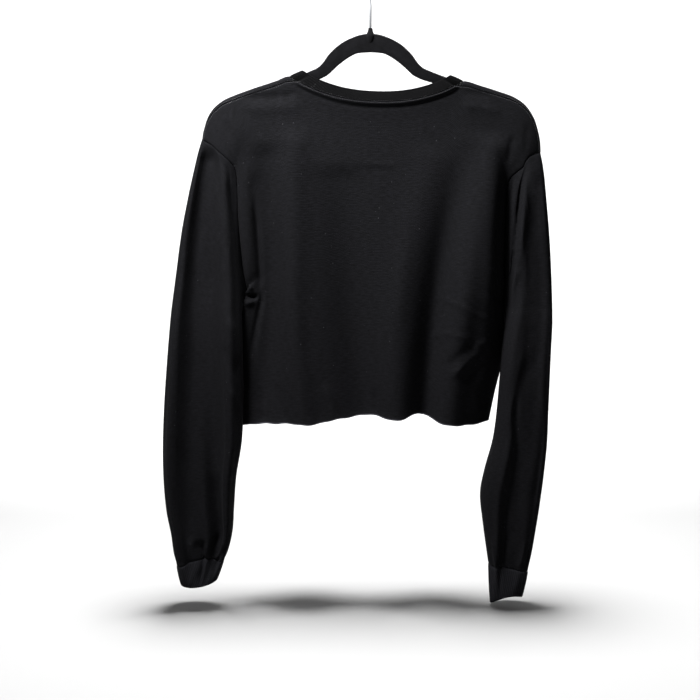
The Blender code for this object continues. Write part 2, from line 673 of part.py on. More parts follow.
def band_edge_fold(side, step):
    """The free edge on its way over the hanger, between the band's back and front."""
    angle = math.pi * step / WRAP_CELLS
    crest, corner = ((BAND_EDGE_LEFT, BAND_EDGE_CORNER_LEFT) if side == "left"
                     else (BAND_EDGE_RIGHT, BAND_EDGE_CORNER_RIGHT))
    foot = BAND_FOOT_BACK if math.cos(angle) > 0 else BAND_FOOT_FRONT
    across = mix(corner, crest, min(math.sin(angle / 2) * math.sqrt(2), 1.0))
    return Vector((across, -FOLD_RADIUS * math.cos(angle),
                   band_chord(crest) - foot * (1 - math.sin(angle))))


def band_edge_front(share):
    across, dip = neck_oval(BAND_EDGE_LEFT, BAND_EDGE_RIGHT, share)
    height = band_chord(across) - BAND_FOOT_FRONT - BAND_EDGE_DIP_FRONT * dip
    return Vector((across, FOLD_RADIUS, height))


# ------------------------------------------------------------------------- making meshes

def material(name):
    colour, roughness, metallic = MATERIALS[name]
    made = bpy.data.materials.get(name) or bpy.data.materials.new(name)
    made.use_nodes = True
    shader = made.node_tree.nodes["Principled BSDF"]
    shader.inputs["Base Color"].default_value = (*colour, 1.0)
    shader.inputs["Roughness"].default_value = roughness
    shader.inputs["Metallic"].default_value = metallic
    return made


def finish(bm, name, material_name, smooth_angle=50.0):
    """Turn a bmesh in millimetres into a named object in metres."""
    bmesh.ops.recalc_face_normals(bm, faces=bm.faces)
    bmesh.ops.scale(bm, verts=bm.verts, vec=(METRE, METRE, METRE))
    mesh = bpy.data.meshes.new(name)
    bm.to_mesh(mesh)
    bm.free()
    mesh.shade_smooth()
    mesh.set_sharp_from_angle(angle=math.radians(smooth_angle))
    mesh.materials.append(material(material_name))
    thing = bpy.data.objects.new(name, mesh)
    bpy.context.collection.objects.link(thing)
    return thing


def cloth(name, rows, inward, wall, material_name, closed, outside):
    """A wall of cloth: a grid on the outer points, extruded inwards by the wall's thickness.

    inward maps (row, column) of an edge point to the direction that its seam shares with the
    piece beside it. outside is a point's row, its column and a direction that leaves the cloth.
    """
    down = len(rows) - 1
    around = len(rows[0]) - (0 if closed else 1)
    bm = bmesh.new()
    bmesh.ops.create_grid(bm, x_segments=around, y_segments=down, size=0.5)
    key = bm.verts.layers.int.new("key")
    for vert in bm.verts:
        column = round((vert.co.x + 0.5) * around) % len(rows[0])
        row = round((0.5 - vert.co.y) * down)
        vert[key] = row * len(rows[0]) + column
        vert.co = rows[row][column]
    if closed:
        bmesh.ops.remove_doubles(bm, verts=bm.verts, dist=METRE)
    bm.normal_update()
    probe_row, probe_column, direction = outside
    probe = next(v for v in bm.verts if v[key] == probe_row * len(rows[0]) + probe_column)
    if probe.normal.dot(direction) < 0:
        bmesh.ops.reverse_faces(bm, faces=bm.faces)
        bm.normal_update()
    shift = {}
    for vert in bm.verts:
        place = divmod(vert[key], len(rows[0]))
        shift[vert[key]] = inward.get(place, -vert.normal) * wall
    made = bmesh.ops.extrude_face_region(bm, geom=bm.faces[:])
    for item in made["geom"]:
        if isinstance(item, bmesh.types.BMVert):
            item.co += shift[item[key]]
    return finish(bm, name, material_name)


def part_from(point, direction, gap=SEAM_GAP):
    """Move a seam point back by half of the gap."""
    return point + direction.normalized() * (gap / 2)


def neck_gap(point):
    return CROSSING_GAP if abs(point.y) < FOLD_RADIUS - 0.01 else SEAM_GAP


def seam_perpendicular(before, after, side):
    """Direction in the XZ plane, square to a seam and towards the body."""
    run = after - before
    square = Vector((-run.z, 0, run.x))
    if square.x * towards_body(side) < 0:
        square.negate()
    return square.normalized()


def armhole_directions(side):
    """For each point of the armhole loop: the way to the body, and the shared way inwards."""
    loop = armhole_loop(side)
    to_body = []
    shared = []
    inner_x = towards_body(side)
    for n, point in enumerate(loop):
        if n <= 0 or n >= 2 * ARMHOLE_CELLS:
            to_body.append(Vector((inner_x, 0, 0)))
        elif n == ARMHOLE_CELLS:
            to_body.append(Vector((inner_x, 0, 0)))
        else:
            to_body.append(seam_perpendicular(loop[n - 1], loop[n + 1], side))
        if n > 2 * ARMHOLE_CELLS:
            angle = math.pi * (n - 2 * ARMHOLE_CELLS) / WRAP_CELLS
            over = math.sin(angle)
            shared.append(Vector((TIP_TURN * inner_x * over, -math.cos(angle), -TIP_FALL * over)))
        else:
            behind = 1 if n <= ARMHOLE_CELLS else -1
            steps = n if n <= ARMHOLE_CELLS else 2 * ARMHOLE_CELLS - n
            leaning = Vector((TIP_LEAN * inner_x, behind, 0)).normalized()
            shared.append(leaning if steps <= SHARED_STEPS else None)
    return loop, to_body, shared


def shoulder_direction(column, last_column):
    """Way inwards along the shoulder seam: it turns gradually towards both of its ends."""
    inner_x = towards_body("left" if column < last_column / 2 else "right")
    from_tip = min(column, last_column - column)
    lean = TIP_LEAN * inner_x * max(1 - from_tip / TURNING_COLUMNS, 0.0)
    from_corner = SHOULDER_CELLS - from_tip
    tilt = math.sqrt(1 - NECK_TILT ** 2) * max(1 - from_corner / TURNING_COLUMNS, 0.0)
    return Vector((lean, 1, -tilt)).normalized()


def build_panel(face, points, neck_inward):
    """Pull a panel's points back from its seams, and make its wall."""
    wrap_rows = 0 if face == "back" else WRAP_CELLS
    behind = 1 if face == "back" else -1
    last_row = len(points) - 1
    last_column = len(points[0]) - 1
    inward = {}
    rows = [list(row) for row in points]
    for column in range(last_column + 1):
        is_neck = SHOULDER_CELLS <= column <= SHOULDER_CELLS + NECK_CELLS[face]
        gap = neck_gap(points[0][column]) if is_neck else SEAM_GAP
        rows[0][column] = part_from(points[0][column], points[1][column] - points[0][column], gap)
        inward[0, column] = (neck_inward[column] if is_neck
                             else shoulder_direction(column, last_column))
    for side, column in (("left", 0), ("right", last_column)):
        loop, to_body, shared = armhole_directions(side)
        for row in range(last_row + 1):
            edge_row = row - wrap_rows
            if edge_row > ARMHOLE_CELLS:
                rows[row][column] += Vector((0, -behind * SEAM_GAP / 2, 0))
                inward[row, column] = Vector((towards_body(side), 0, 0))
                continue
            if face == "back":
                index = row
            else:
                index = (2 * ARMHOLE_CELLS - edge_row) % RING_CELLS
            rows[row][column] = part_from(rows[row][column], to_body[index])
            if shared[index] is not None:
                inward[row, column] = shared[index]
            if edge_row == ARMHOLE_CELLS:
                rows[row][column] += Vector((0, -behind * SEAM_GAP / 2, 0))
                inward[row, column] = Vector((towards_body(side), 0, 0))
    return cloth(face, rows, inward, CLOTH, "jersey", False,
                 (last_row // 2, last_column // 2, Vector((0, -behind, 0))))


def build_sleeve(side):
    rings = sleeve_points(side)
    _, to_body, shared = armhole_directions(side)
    rows = [list(ring) for ring in rings]
    inward = {}
    for n in range(RING_CELLS):
        rows[0][n] = part_from(rings[0][n], -to_body[n])
        rows[-1][n] = part_from(rings[-1][n], rings[-2][n] - rings[-1][n])
        if shared[n] is not None:
            inward[0, n] = shared[n]
        inward[len(rows) - 1, n] = to_middle(rings[-1], n)
    cloth("sleeve_" + side, rows, inward, CLOTH, "jersey", True,
          (SLEEVE_CELLS // 2, ARMHOLE_CELLS // 2, Vector((0, -1, 0))))


def to_middle(ring, n):
    """Level direction from a ring's point to its centre, square to an oval."""
    centre = sum(ring, Vector()) / len(ring)
    ahead = ring[(n + 1) % len(ring)] - ring[n - 1]
    square = Vector((-ahead.y, ahead.x, 0)).normalized()
    return square if square.dot(centre - ring[n]) > 0 else -square


def build_cuff(side):
    rings = cuff_points(side)
    rows = [list(ring) for ring in rings]
    inward = {}
    for n in range(RING_CELLS):
        rows[0][n] = part_from(rings[0][n], rings[1][n] - rings[0][n])
        inward[0, n] = to_middle(rings[0], n)
    cloth("cuff_" + side, rows, inward, RIB, "rib", True,
          (CUFF_CELLS, ARMHOLE_CELLS // 2, Vector((0, -1, 0))))


def neck_directions(face, points):
    """Shared way inwards at each neck column of a panel, over the fold at the crossings."""
    directions = {}
    for column in range(SHOULDER_CELLS, SHOULDER_CELLS + NECK_CELLS[face] + 1):
        directions[column] = over_hanger_direction(points[0][column])
    return directions


def over_hanger_direction(point):
    """Way inwards for the cloth over the hanger, by how far it lies behind or before it."""
    flat = NECK_TILT * max(-1.0, min(1.0, point.y / FOLD_RADIUS))
    return Vector((0, -flat, -math.sqrt(1 - flat * flat)))


def build_neckband(back, front, back_inward, front_inward):
    first = SHOULDER_CELLS
    shared = [back_inward[n] for n in range(first, first + NECK_CELLS["back"] + 1)]
    shared += [front_inward[n] for n in range(first + NECK_CELLS["front"] - 1, first, -1)]
    rings = band_points(back, front)
    rows = [list(ring) for ring in rings]
    inward = {}
    for n, direction in enumerate(shared):
        rows[0][n] = part_from(rings[0][n], rings[1][n] - rings[0][n], neck_gap(rings[0][n]))
        inward[0, n] = direction
        for row in range(1, BAND_CELLS + 1):
            inward[row, n] = over_hanger_direction(rings[row][n])
    cloth("neckband", rows, inward, RIB, "rib", True,
          (1, BACK_NECK_CELLS // 2, Vector((0, -1, 0))))


# ----------------------------------------------------------------------- hanger and hook

def build_hanger():
    """Flat arched body: a face on its outline, extruded to its thickness, edges rounded."""
    bm = bmesh.new()
    left = [(HANGER_CENTRE - rail.out, rail.top) for rail in HANGER_OUTLINE[:0:-1]]
    right = [(HANGER_CENTRE + rail.out, rail.top) for rail in HANGER_OUTLINE]
    right_under = [(HANGER_CENTRE + rail.out, rail.bottom) for rail in HANGER_OUTLINE[::-1]]
    left_under = [(HANGER_CENTRE - rail.out, rail.bottom) for rail in HANGER_OUTLINE[1:]]
    half = HANGER_THICKNESS / 2
    verts = [bm.verts.new((x, -half, z)) for x, z in left + right + right_under + left_under]
    face = bm.faces.new(verts)
    made = bmesh.ops.extrude_face_region(bm, geom=[face])
    moved = [item for item in made["geom"] if isinstance(item, bmesh.types.BMVert)]
    bmesh.ops.translate(bm, verts=moved, vec=(0, HANGER_THICKNESS, 0))
    bmesh.ops.recalc_face_normals(bm, faces=bm.faces)
    rims = [edge for edge in bm.edges if abs(edge.verts[0].co.y - edge.verts[1].co.y) < 1e-6]
    bmesh.ops.bevel(bm, geom=rims, offset=HANGER_EDGE_ROUND, segments=2, profile=0.5,
                    affect="EDGES", clamp_overlap=True)
    hanger = finish(bm, "hanger", "flock")
    union = hanger.modifiers.new("collar", "BOOLEAN")
    union.operation = "UNION"
    union.solver = "EXACT"
    union.object = build_collar()


def build_collar():
    """Turned collar, joined to the hanger's body by the union above."""
    bm = bmesh.new()
    profile = [bm.verts.new((ring.radius, 0, ring.height)) for ring in COLLAR_PROFILE]
    line = [bm.edges.new(pair) for pair in zip(profile, profile[1:])]
    bmesh.ops.spin(bm, geom=profile + line, cent=(0, 0, 0), axis=(0, 0, 1), dvec=(0, 0, 0),
                   angle=2 * math.pi, steps=COLLAR_SIDES, use_merge=True)
    bmesh.ops.holes_fill(bm, edges=bm.edges, sides=COLLAR_SIDES)
    bmesh.ops.translate(bm, verts=bm.verts, vec=(HANGER_CENTRE, 0, 0))
    collar = finish(bm, "collar_guide", "flock")
    collar.hide_render = True
    collar.display_type = "WIRE"
    return collar


def hook_route():
    """Centre line of the wire from the hook's tip, over the bend and down the shank."""
    radius = HOOK_INNER_RADIUS + HOOK_WIRE / 2
    centre = Vector((0, 0, -HOOK_INNER_RADIUS))
    route = []
    steps = round((HOOK_NECK_ANGLE - HOOK_TIP_ANGLE) / HOOK_STEP_ANGLE)
    for n in range(steps + 1):
        angle = math.radians(mix(HOOK_TIP_ANGLE, HOOK_NECK_ANGLE, n / steps))
        route.append(centre + Vector((math.cos(angle), 0, math.sin(angle))) * radius)
    turn = math.radians(HOOK_NECK_ANGLE - 180)
    neck_radius = (HANGER_CENTRE - route[-1].x) / (1 - math.cos(turn))
    start = route[-1]
    shank_top = start.z - neck_radius * math.sin(turn)
    steps = 6
    for n in range(1, steps + 1):
        left = turn * (1 - n / steps)
        route.append(Vector((HANGER_CENTRE - neck_radius * (1 - math.cos(left)), 0,
                             shank_top + neck_radius * math.sin(left))))
    route.append(Vector((HANGER_CENTRE, 0, COLLAR_PROFILE[0].height + SEAM_GAP)))
    return route


def build_hook():
    curve = bpy.data.curves.new("hook", "CURVE")
    curve.dimensions = "3D"
    curve.bevel_depth = HOOK_WIRE / 2 * METRE
    curve.bevel_resolution = 2
    curve.use_fill_caps = True
    route = hook_route()
    spline = curve.splines.new("POLY")
    spline.points.add(len(route) - 1)
    for point, place in zip(spline.points, route):
        point.co = (*(place * METRE), 1)
    curve.materials.append(material("wire"))
    bpy.context.collection.objects.link(bpy.data.objects.new("hook", curve))


def main():
    for thing in list(bpy.data.objects):
        bpy.data.objects.remove(thing)
    back = panel_points("back")
    front = panel_points("front")
    back_inward = neck_directions("back", back)
    front_inward = neck_directions("front", front)
    build_panel("back", back, back_inward)
    build_panel("front", front, front_inward)
    build_neckband(back, front, back_inward, front_inward)
    for side in ("left", "right"):
        build_sleeve(side)
        build_cuff(side)
    build_hanger()
    build_hook()


main()
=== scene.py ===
# A long-sleeved cropped T-shirt on a flocked hanger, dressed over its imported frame.
# Sizes are in millimetres until a mesh is finished, and heights are below the hook's bend.
from functools import partial
import math
import bmesh
import bpy
from mathutils import Matrix, Vector


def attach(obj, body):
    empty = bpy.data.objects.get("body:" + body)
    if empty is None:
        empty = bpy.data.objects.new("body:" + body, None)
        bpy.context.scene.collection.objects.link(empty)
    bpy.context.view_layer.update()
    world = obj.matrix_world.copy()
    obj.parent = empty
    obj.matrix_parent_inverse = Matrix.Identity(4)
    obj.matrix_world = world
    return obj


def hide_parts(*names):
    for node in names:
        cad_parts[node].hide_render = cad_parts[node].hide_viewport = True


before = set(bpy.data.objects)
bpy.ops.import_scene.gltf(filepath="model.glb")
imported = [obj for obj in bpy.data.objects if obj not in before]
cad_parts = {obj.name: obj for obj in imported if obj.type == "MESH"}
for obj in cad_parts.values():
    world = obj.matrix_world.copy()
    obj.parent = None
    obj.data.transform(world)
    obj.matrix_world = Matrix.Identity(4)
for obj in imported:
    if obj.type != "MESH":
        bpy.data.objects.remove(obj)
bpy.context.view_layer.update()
mm = 0.001

cells = {           # how finely each stretch of cloth is divided
    "shoulder": 54, "backNeck": 72, "frontNeck": 60, "wrap": 24,
    "armhole": 72, "side": 72, "sleeve": 200, "cuff": 20, "band": 12,
}
ringCells = 2 * cells["armhole"] + cells["wrap"]


# a smooth curve through a small table of rows, each a key and its values
def curve(rows, key):
    keys = [row[0] for row in rows]
    if key <= keys[0]:
        return rows[0][1:]
    if key >= keys[-1]:
        return rows[-1][1:]
    right = next(n for n, value in enumerate(keys) if value >= key)
    left = right - 1
    step = keys[right] - keys[left]
    t = (key - keys[left]) / step
    before = max(left - 1, 0)
    after = min(right + 1, len(rows) - 1)
    values = []
    for column in range(1, len(rows[0])):
        a = rows[left][column]
        b = rows[right][column]
        slopeA = (b - rows[before][column]) / (keys[right] - keys[before]) * step
        slopeB = (rows[after][column] - a) / (keys[after] - keys[left]) * step
        cubic = 2 * t ** 3 - 3 * t ** 2
        values.append(a * (1 + cubic) - b * cubic
                      + slopeA * (t ** 3 - 2 * t ** 2 + t) + slopeB * (t ** 3 - t ** 2))
    return values


def mix(a, b, share):
    return a + (b - a) * share


def ease(t):
    t = min(max(t, 0.0), 1.0)
    return t * t * (3 - 2 * t)


def pathLengths(line):
    lengths = [0.0]
    for a, b in zip(line, line[1:]):
        lengths.append(lengths[-1] + (b - a).length)
    return lengths


# the stretch of a path that holds a length along it, and the share of that stretch
def stretchAt(lengths, goal):
    n = max(index for index, length in enumerate(lengths[:-1]) if length <= goal)
    return n, (goal - lengths[n]) / (lengths[n + 1] - lengths[n])


relief = {
    "foldFade": 30.0,       # mm over which a fold dies away past its two ends
    "creaseFade": 0.22,     # share of a crease over which it fades, to both sides of an end
    "deeper": 1.5,          # deepens every short crease alike
    "sleeveGirth": 260.0, "cuffGirth": 130.0,   # mm round, for creases placed by the turn
}


# a long soft fold: its place at the top, middle and bottom, half its width, how far it stands out
def foldRelief(folds, across, height):
    total = 0.0
    for top, bottom, xTop, xMiddle, xBottom, reach, outTop, outMiddle, outBottom in folds:
        t = (top - height) / (top - bottom)
        past = max(height - top, bottom - height, 0.0)
        t = min(max(t, 0.0), 1.0)
        first, middle, last = (1 - t) * (1 - 2 * t), 4 * t * (1 - t), t * (2 * t - 1)
        centre = xTop * first + xMiddle * middle + xBottom * last
        out = outTop * first + outMiddle * middle + outBottom * last
        shown = 1 - ease(past / relief["foldFade"])
        total += out * shown * math.exp(-((across - centre) / reach) ** 2)
    return total


# a short crease: a line from one end to the other with a bow, half its width and its height
def creaseRelief(creases, across, height, stretch=1.0):
    total, fade = 0.0, relief["creaseFade"]
    for x1, z1, x2, z2, bow, reach, out in creases:
        run = Vector(((x2 - x1) * stretch, z2 - z1))
        point = Vector(((across - x1) * stretch, height - z1))
        t = point.dot(run) / run.length_squared
        if -fade < t < 1 + fade:
            inside = min(max(t, 0.0), 1.0)
            sideways = (run.x * point.y - run.y * point.x) / run.length
            sideways -= bow * 4 * inside * (1 - inside)
            shown = ease((t / fade + 1) / 2) * ease(((1 - t) / fade + 1) / 2)
            total += out * shown * math.exp(-(sideways / reach) ** 2)
    return total


# the garment: the sizes of the solids to within a few millimetres, then creases of its own

shoulder = {
    "fold": (       # across, height of the cloth's top over the hanger
        (-222, -229), (-219.5, -216.5), (-215.5, -205), (-208, -193.5), (-196, -183.5),
        (-181, -176.5), (-153, -166.5), (-125, -157.5), (-108, -151.5), (121, -157.5),
        (145, -164), (166, -170.5), (187, -178), (202, -188), (211, -199.5),
        (217, -212), (221.5, -231), (222.5, -245)),
    "radius": 5.0, "seamDropAtNeck": 7.0, "seamDropAtTip": 5.0,
}
leftSide = {
    "underarm": -435, "tip": -222,
    "edge": (   # height, across, back's depth, front's depth
        (-617, -184, 15, 15), (-570, -184.5, 16, 16), (-520, -184, 17, 17),
        (-480, -181.5, 16, 16), (-462, -179, 14, 14), (-448, -175, 10, 10),
        (-441, -171, 6, 6), (-435, -166, 0, 0), (-422, -168.5, -6, 7),
        (-390, -172.5, -7, 8), (-335, -176.5, -8, 8), (-292, -177.5, -8, 8),
        (-271, -179.5, -10, 10), (-262, -186, -14, 12), (-255, -193.5, -15, 13),
        (-247, -203, -13, 12), (-240, -211, -10, 10), (-234, -222, -5, 5)),
    "sleeve": ( # height, outer and inner edge, middle, half its depth
        (-806, -266.5, -202.5, -20, 25), (-790, -270, -195.5, -21, 27),
        (-765, -272.5, -189.5, -22, 29), (-730, -278, -186.5, -24, 30),
        (-685, -280.5, -182.5, -26, 31), (-634, -280, -174, -27, 31),
        (-576, -276.5, -171.5, -27, 31), (-513, -271, -171.5, -25.5, 29.5),
        (-480, -268, -172, -22.5, 29), (-459, -266, -172.5, -19, 29),
        (-435, -263, -173, -14, 29), (-412, -260, -174, -10, 28.5),
        (-353, -251.5, -179, -5, 26), (-311, -243, -183.5, -3, 23),
        (-275, -235, -186.5, -2, 18), (-250, -230, -192, -1, 12),
        (-229, -225, -205, 0, 6)),
    "folds": (
        (-265, -800, 0.236, 0.258, 0.338, 0.056, -16, -26, -17),
        (-265, -800, 0.185, 0.215, 0.235, 0.04, -3, -7, -6),
        (-400, -800, 0.13, 0.14, 0.155, 0.032, 1, 7, 4),
        (-560, -806, 0.236, 0.262, 0.29, 0.016, 1, 4, 5),
        (-290, -800, 0.365, 0.362, 0.405, 0.036, 5, 9, 9),
        (-420, -760, 0.7, 0.72, 0.69, 0.06, -3, -9, -5)),
    "creases": (    # part of the way round, height, again at the far end, bow, reach, out
        (0.245, -262, 0.236, -420, 1, 5, 1.4), (0.3, -262, 0.34, -330, 0, 7, -1.2),
        (0.36, -470, 0.43, -520, 3, 9, 1.6), (0.33, -505, 0.42, -545, -2, 8, -1.5),
        (0.36, -560, 0.44, -600, 2, 8, 1.3), (0.2, -640, 0.22, -760, 6, 8, -1.8),
        (0.12, -620, 0.1, -790, -4, 8, 1.5), (0.252, -774, 0.272, -803, 0, 3, -6),
        (0.228, -770, 0.245, -804, -1, 3.6, 2.6), (0.315, -768, 0.285, -803, 1, 3.6, -3),
        (0.262, -776, 0.268, -798, 0, 3.4, 2.2), (0.375, -772, 0.325, -803, 2, 5, 4),
        (0.3, -690, 0.325, -772, 1, 6, -3),
        (0.41, -752, 0.39, -803, 2, 5, -2), (0.14, -776, 0.16, -806, 1, 4, -1.6),
        (0.55, -560, 0.62, -640, 3, 9, -1.6), (0.6, -640, 0.55, -760, 4, 9, 1.5),
        (0.8, -300, 0.76, -470, 2, 9, 1.6), (0.88, -330, 0.9, -560, 4, 9, -1.6),
        (0.66, -760, 0.7, -803, 2, 5, -2), (0.8, -750, 0.77, -803, 1, 5, -1.8)),
    "cuff": (-262, -211, -839, -832, -2, -20, 22), "arch": (0.265, 0.075, 8),
    "cuffCreases": ((0.27, -3, 0.19, -32, 0, 2.6, 1.3), (0.33, -4, 0.31, -30, 0, 3, -0.8)),
}
rightSide = {
    "underarm": -451, "tip": 222.5,
    "edge": (
        (-612, 163, 8, 8), (-570, 171.5, 10, 10), (-533, 180.5, 12, 12),
        (-505, 185, 13, 13), (-480, 186, 12, 12), (-467, 184.5, 9, 9),
        (-458, 180, 5, 5), (-451, 178.5, 0, 0), (-435, 178.5, -6, 7),
        (-390, 177.5, -7, 8), (-335, 178, -8, 8), (-296, 179.5, -8, 8),
        (-285, 183, -11, 10), (-278, 189.5, -13, 12), (-270, 199, -14, 13),
        (-261, 204, -13, 12), (-254, 211, -10, 10), (-250, 222.5, -5, 5)),
    "sleeve": (
        (-815, 217.5, 164, -16, 24), (-790, 222, 160, -17, 26),
        (-753, 227, 154.5, -18, 28), (-711, 232, 150, -19, 30),
        (-678, 235, 155, -21, 31), (-635, 238, 165.5, -22, 31),
        (-591, 238.5, 170.5, -23, 31), (-530, 239.5, 174.5, -23, 30),
        (-500, 240.5, 176.5, -22, 28), (-476, 241.5, 179, -19.5, 27.5),
        (-462, 241.5, 180.5, -17, 27.5), (-451, 241.5, 181.5, -14.5, 27.5),
        (-400, 239.5, 182.5, -8, 26.5),
        (-354, 236.5, 182, -4, 25), (-303, 231.5, 184, -2, 20),
        (-271, 228.5, 191, -1, 14), (-245, 224.5, 206, 0, 6)),
    "folds": (
        (-300, -812, 0.215, 0.235, 0.255, 0.05, -4, -6, -7),
        (-420, -812, 0.13, 0.14, 0.16, 0.035, -1, -4, -2),
        (-590, -812, 0.292, 0.268, 0.318, 0.022, -3, -5, -5),
        (-590, -812, 0.336, 0.312, 0.362, 0.024, 2, 3, 3),
        (-380, -700, 0.17, 0.19, 0.16, 0.05, -1, -3, -2),
        (-420, -760, 0.72, 0.7, 0.73, 0.06, -3, -9, -5)),
    "creases": (
        (0.315, -290, 0.43, -420, -6, 5.5, -5), (0.275, -290, 0.39, -430, -6, 6, 3),
        (0.27, -280, 0.3, -420, 2, 7, 1.6), (0.2, -282, 0.22, -350, 1, 7, -1.4),
        (0.4, -300, 0.44, -400, 0, 5, 1.6), (0.24, -520, 0.31, -620, 4, 8, -2),
        (0.31, -440, 0.36, -560, 2, 8, 1.5), (0.16, -560, 0.12, -720, -4, 9, 1.5),
        (0.1, -600, 0.08, -780, -3, 8, -1.4), (0.4, -620, 0.45, -690, 2, 8, -1.4),
        (0.26, -760, 0.28, -809, 2, 4, -2.2), (0.19, -776, 0.21, -809, -2, 4, 1.8),
        (0.37, -772, 0.36, -809, 1, 4, 1.9), (0.43, -756, 0.41, -809, 2, 5, -1.8),
        (0.13, -782, 0.14, -809, 1, 4, -1.5), (0.56, -560, 0.62, -650, 3, 9, -1.6),
        (0.8, -320, 0.76, -480, 2, 9, 1.6), (0.88, -350, 0.9, -560, 4, 9, -1.6),
        (0.66, -766, 0.7, -809, 2, 5, -2), (0.8, -756, 0.77, -809, 1, 5, -1.8)),
    "cuff": (211.5, 166.5, -858, -867, 9, -16, 20), "arch": (0.3, 0.06, 2.5),
    "cuffCreases": ((0.47, -2, 0.41, -24, 0, 2.2, -1.6), (0.4, -14, 0.375, -36, 0, 2.6, 1.5)),
}
sides = {"left": leftSide, "right": rightSide}
body = {
    "armholeCrowding": 1.25,    # rows lie closer together near the shoulder tip
    "edgeCrowding": 0.62,       # and columns near the side seams
    "curl": 1.3, "curlReach": 3.5,      # the cut edge curls outwards
    "ragged": ((0.6, 8.3, 1), (0.4, 3.9, 0)), "raggedLow": 0.3,     # height, length, start
    "bulge": (      # below the fold, how far the back and the front stand out
        (5, 5, 5), (30, 8, 8), (60, 12, 12), (120, 20, 19), (200, 29, 27), (290, 36, 34),
        (380, 41, 39), (480, 45, 43)),
    "squareness": (     # height, power of the section
        (-617, 3.4), (-520, 3.8), (-460, 6), (-420, 9), (-230, 9)),
    "backHem": (        # across, height of the cut edge
        (-184, -617), (-150, -612), (-115, -608), (-85, -608), (-40, -602), (-8, -598),
        (35, -601), (66, -597), (100, -609), (130, -611), (162, -612)),
    "frontHem": (
        (-184, -617), (-120, -611), (-60, -609), (0, -604), (60, -607), (120, -610),
        (162, -612)),
    "backFolds": (
        (-235, -600, 122, 88, 70, 17, 1, -10, -19), (-245, -612, 150, 127, 109, 22, 4, 18, 13),
        (-262, -602, 78, 42, 32, 25, 3, 9, 12), (-290, -600, -40, -25, -7, 33, -6, -16, -16),
        (-240, -610, -100, -103, -90, 17, 5, 8, 10), (-250, -590, 166, 158, 151, 18, 8, 17, 11),
        (-262, -600, -140, -135, -146, 21, -8, -22, -11),
        (-300, -560, -155, -156, -172, 9, -4, -6, -6)),
    "frontFolds": (
        (-330, -605, 20, 6, -8, 30, -1, -7, -11), (-300, -608, -75, -80, -86, 28, 1, 6, 10),
        (-310, -608, 70, 82, 90, 26, 1, 6, 9), (-320, -612, -130, -133, -136, 16, -1, -5, -8),
        (-330, -612, 128, 126, 124, 15, -1, -5, -9)),
    "backCreases": (    # across, height, again at the far end, bow, reach, out
        (-183, -214, -168, -425, 0, 5, 2.4), (-154, -325, -148, -432, 1, 4, -4.5),
        (-146, -440, -161, -515, 0, 4, -4.5), (-176, -436, -154, -441, -2, 3.2, -8),
        (-174, -424, -158, -429, 0, 3.5, 3), (-170, -450, -157, -446, 0, 4.5, 4),
        (-188, -214, -180, -266, 1, 5, -2.4), (-165, -178, -98, -174, -2, 5, -1.4),
        (-165, -193, -95, -190, -2, 7, 1), (122, -173, 156, -177, 1, 4.5, -0.8),
        (120, -190, 166, -198, 2, 6, 1), (185, -231, 180, -261, 0, 4, -2.4),
        (205, -216, 202, -254, 0, 4, -1.8), (170, -300, 168, -455, -3, 4, -3.2),
        (-8, -265, 31, -266, -1, 3, 0.7), (-14, -271, 24, -272, 1, 4, -0.5),
        (110, -540, 144, -510, 1, 5, 2.6), (104, -528, 136, -498, 1, 6, -1.6),
        (122, -552, 150, -528, 1, 7, -2), (136, -505, 156, -497, 0, 5, 1.6),
        (92, -441, 131, -457, 2, 3, 0.8), (131, -457, 170, -469, -2, 3, 0.8),
        (82, -492, 106, -486, 1, 4, 0.6), (106, -487, 146, -500, 2, 4, 0.8),
        (148, -560, 152, -606, 0, 7, -2.2), (40, -380, 34, -470, 2, 9, 0.8),
        (-120, -260, -132, -360, 2, 12, 1), (-96, -420, -84, -520, 3, 10, -0.9),
        (-128, -560, -118, -606, 2, 8, -1.4), (-60, -560, -50, -604, 2, 7, 1.2),
        (4, -566, 12, -600, 0, 6, -1.2), (-150, -586, -160, -614, 0, 7, 1.4)),
    "frontCreases": (
        (-150, -325, -152, -432, -1, 4, -3.6), (-150, -440, -160, -520, 0, 5, -3.2),
        (165, -310, 163, -450, 3, 4, -3.2), (-186, -216, -178, -264, 1, 5, -2.2),
        (188, -230, 182, -268, 0, 4, -2.2), (-120, -176, -92, -205, 2, 7, -1.4),
        (128, -182, 104, -212, -2, 7, -1.4), (-74, -270, -96, -360, 3, 10, 1.2),
        (84, -276, 100, -360, -3, 10, 1.1), (-20, -300, -34, -380, 3, 12, -0.9),
        (40, -310, 52, -400, -2, 11, -0.9), (-128, -470, -104, -520, 2, 8, 1.3),
        (118, -470, 100, -530, -2, 8, 1.4), (-60, -480, -52, -560, 2, 9, -1.2),
        (30, -500, 40, -580, 2, 9, 1.2), (-30, -566, -24, -602, 0, 7, 1.3),
        (-110, -572, -118, -608, 0, 7, -1.4), (64, -570, 58, -604, 0, 7, -1.3),
        (142, -540, 150, -604, 0, 7, -1.8), (-8, -268, 22, -269, 2, 4, -0.6)),
}
neck = {
    "seam": (-108, 121), "seamDip": (31, 90), "round": 2.3,
    "corner": (-101, 114), "spread": 6,
    "edge": (-91, 104), "edgeHeight": (-144, -150), "edgeDip": (23.5, 79),
    "edgeCorner": (-84.5, 97.5), "lean": 3.2, "leanStart": 0.35, "foot": (3.5, 6.5),
    "roll": 4.4, "rollReach": 5.2,      # the sewn edge stands out, then steps down sharply
    "groove": 1.2, "grooveDrop": 7.2, "grooveReach": 2.2,   # into a narrow groove below it
    "join": -79.6,                      # where the ring of rib is closed
    "rise": 1.6, "riseReach": 15,
    "crown": 0.5,                       # the band's middle swells this much
    "tilt": 0.93,                       # how far the cloth's outside turns over the fold
}
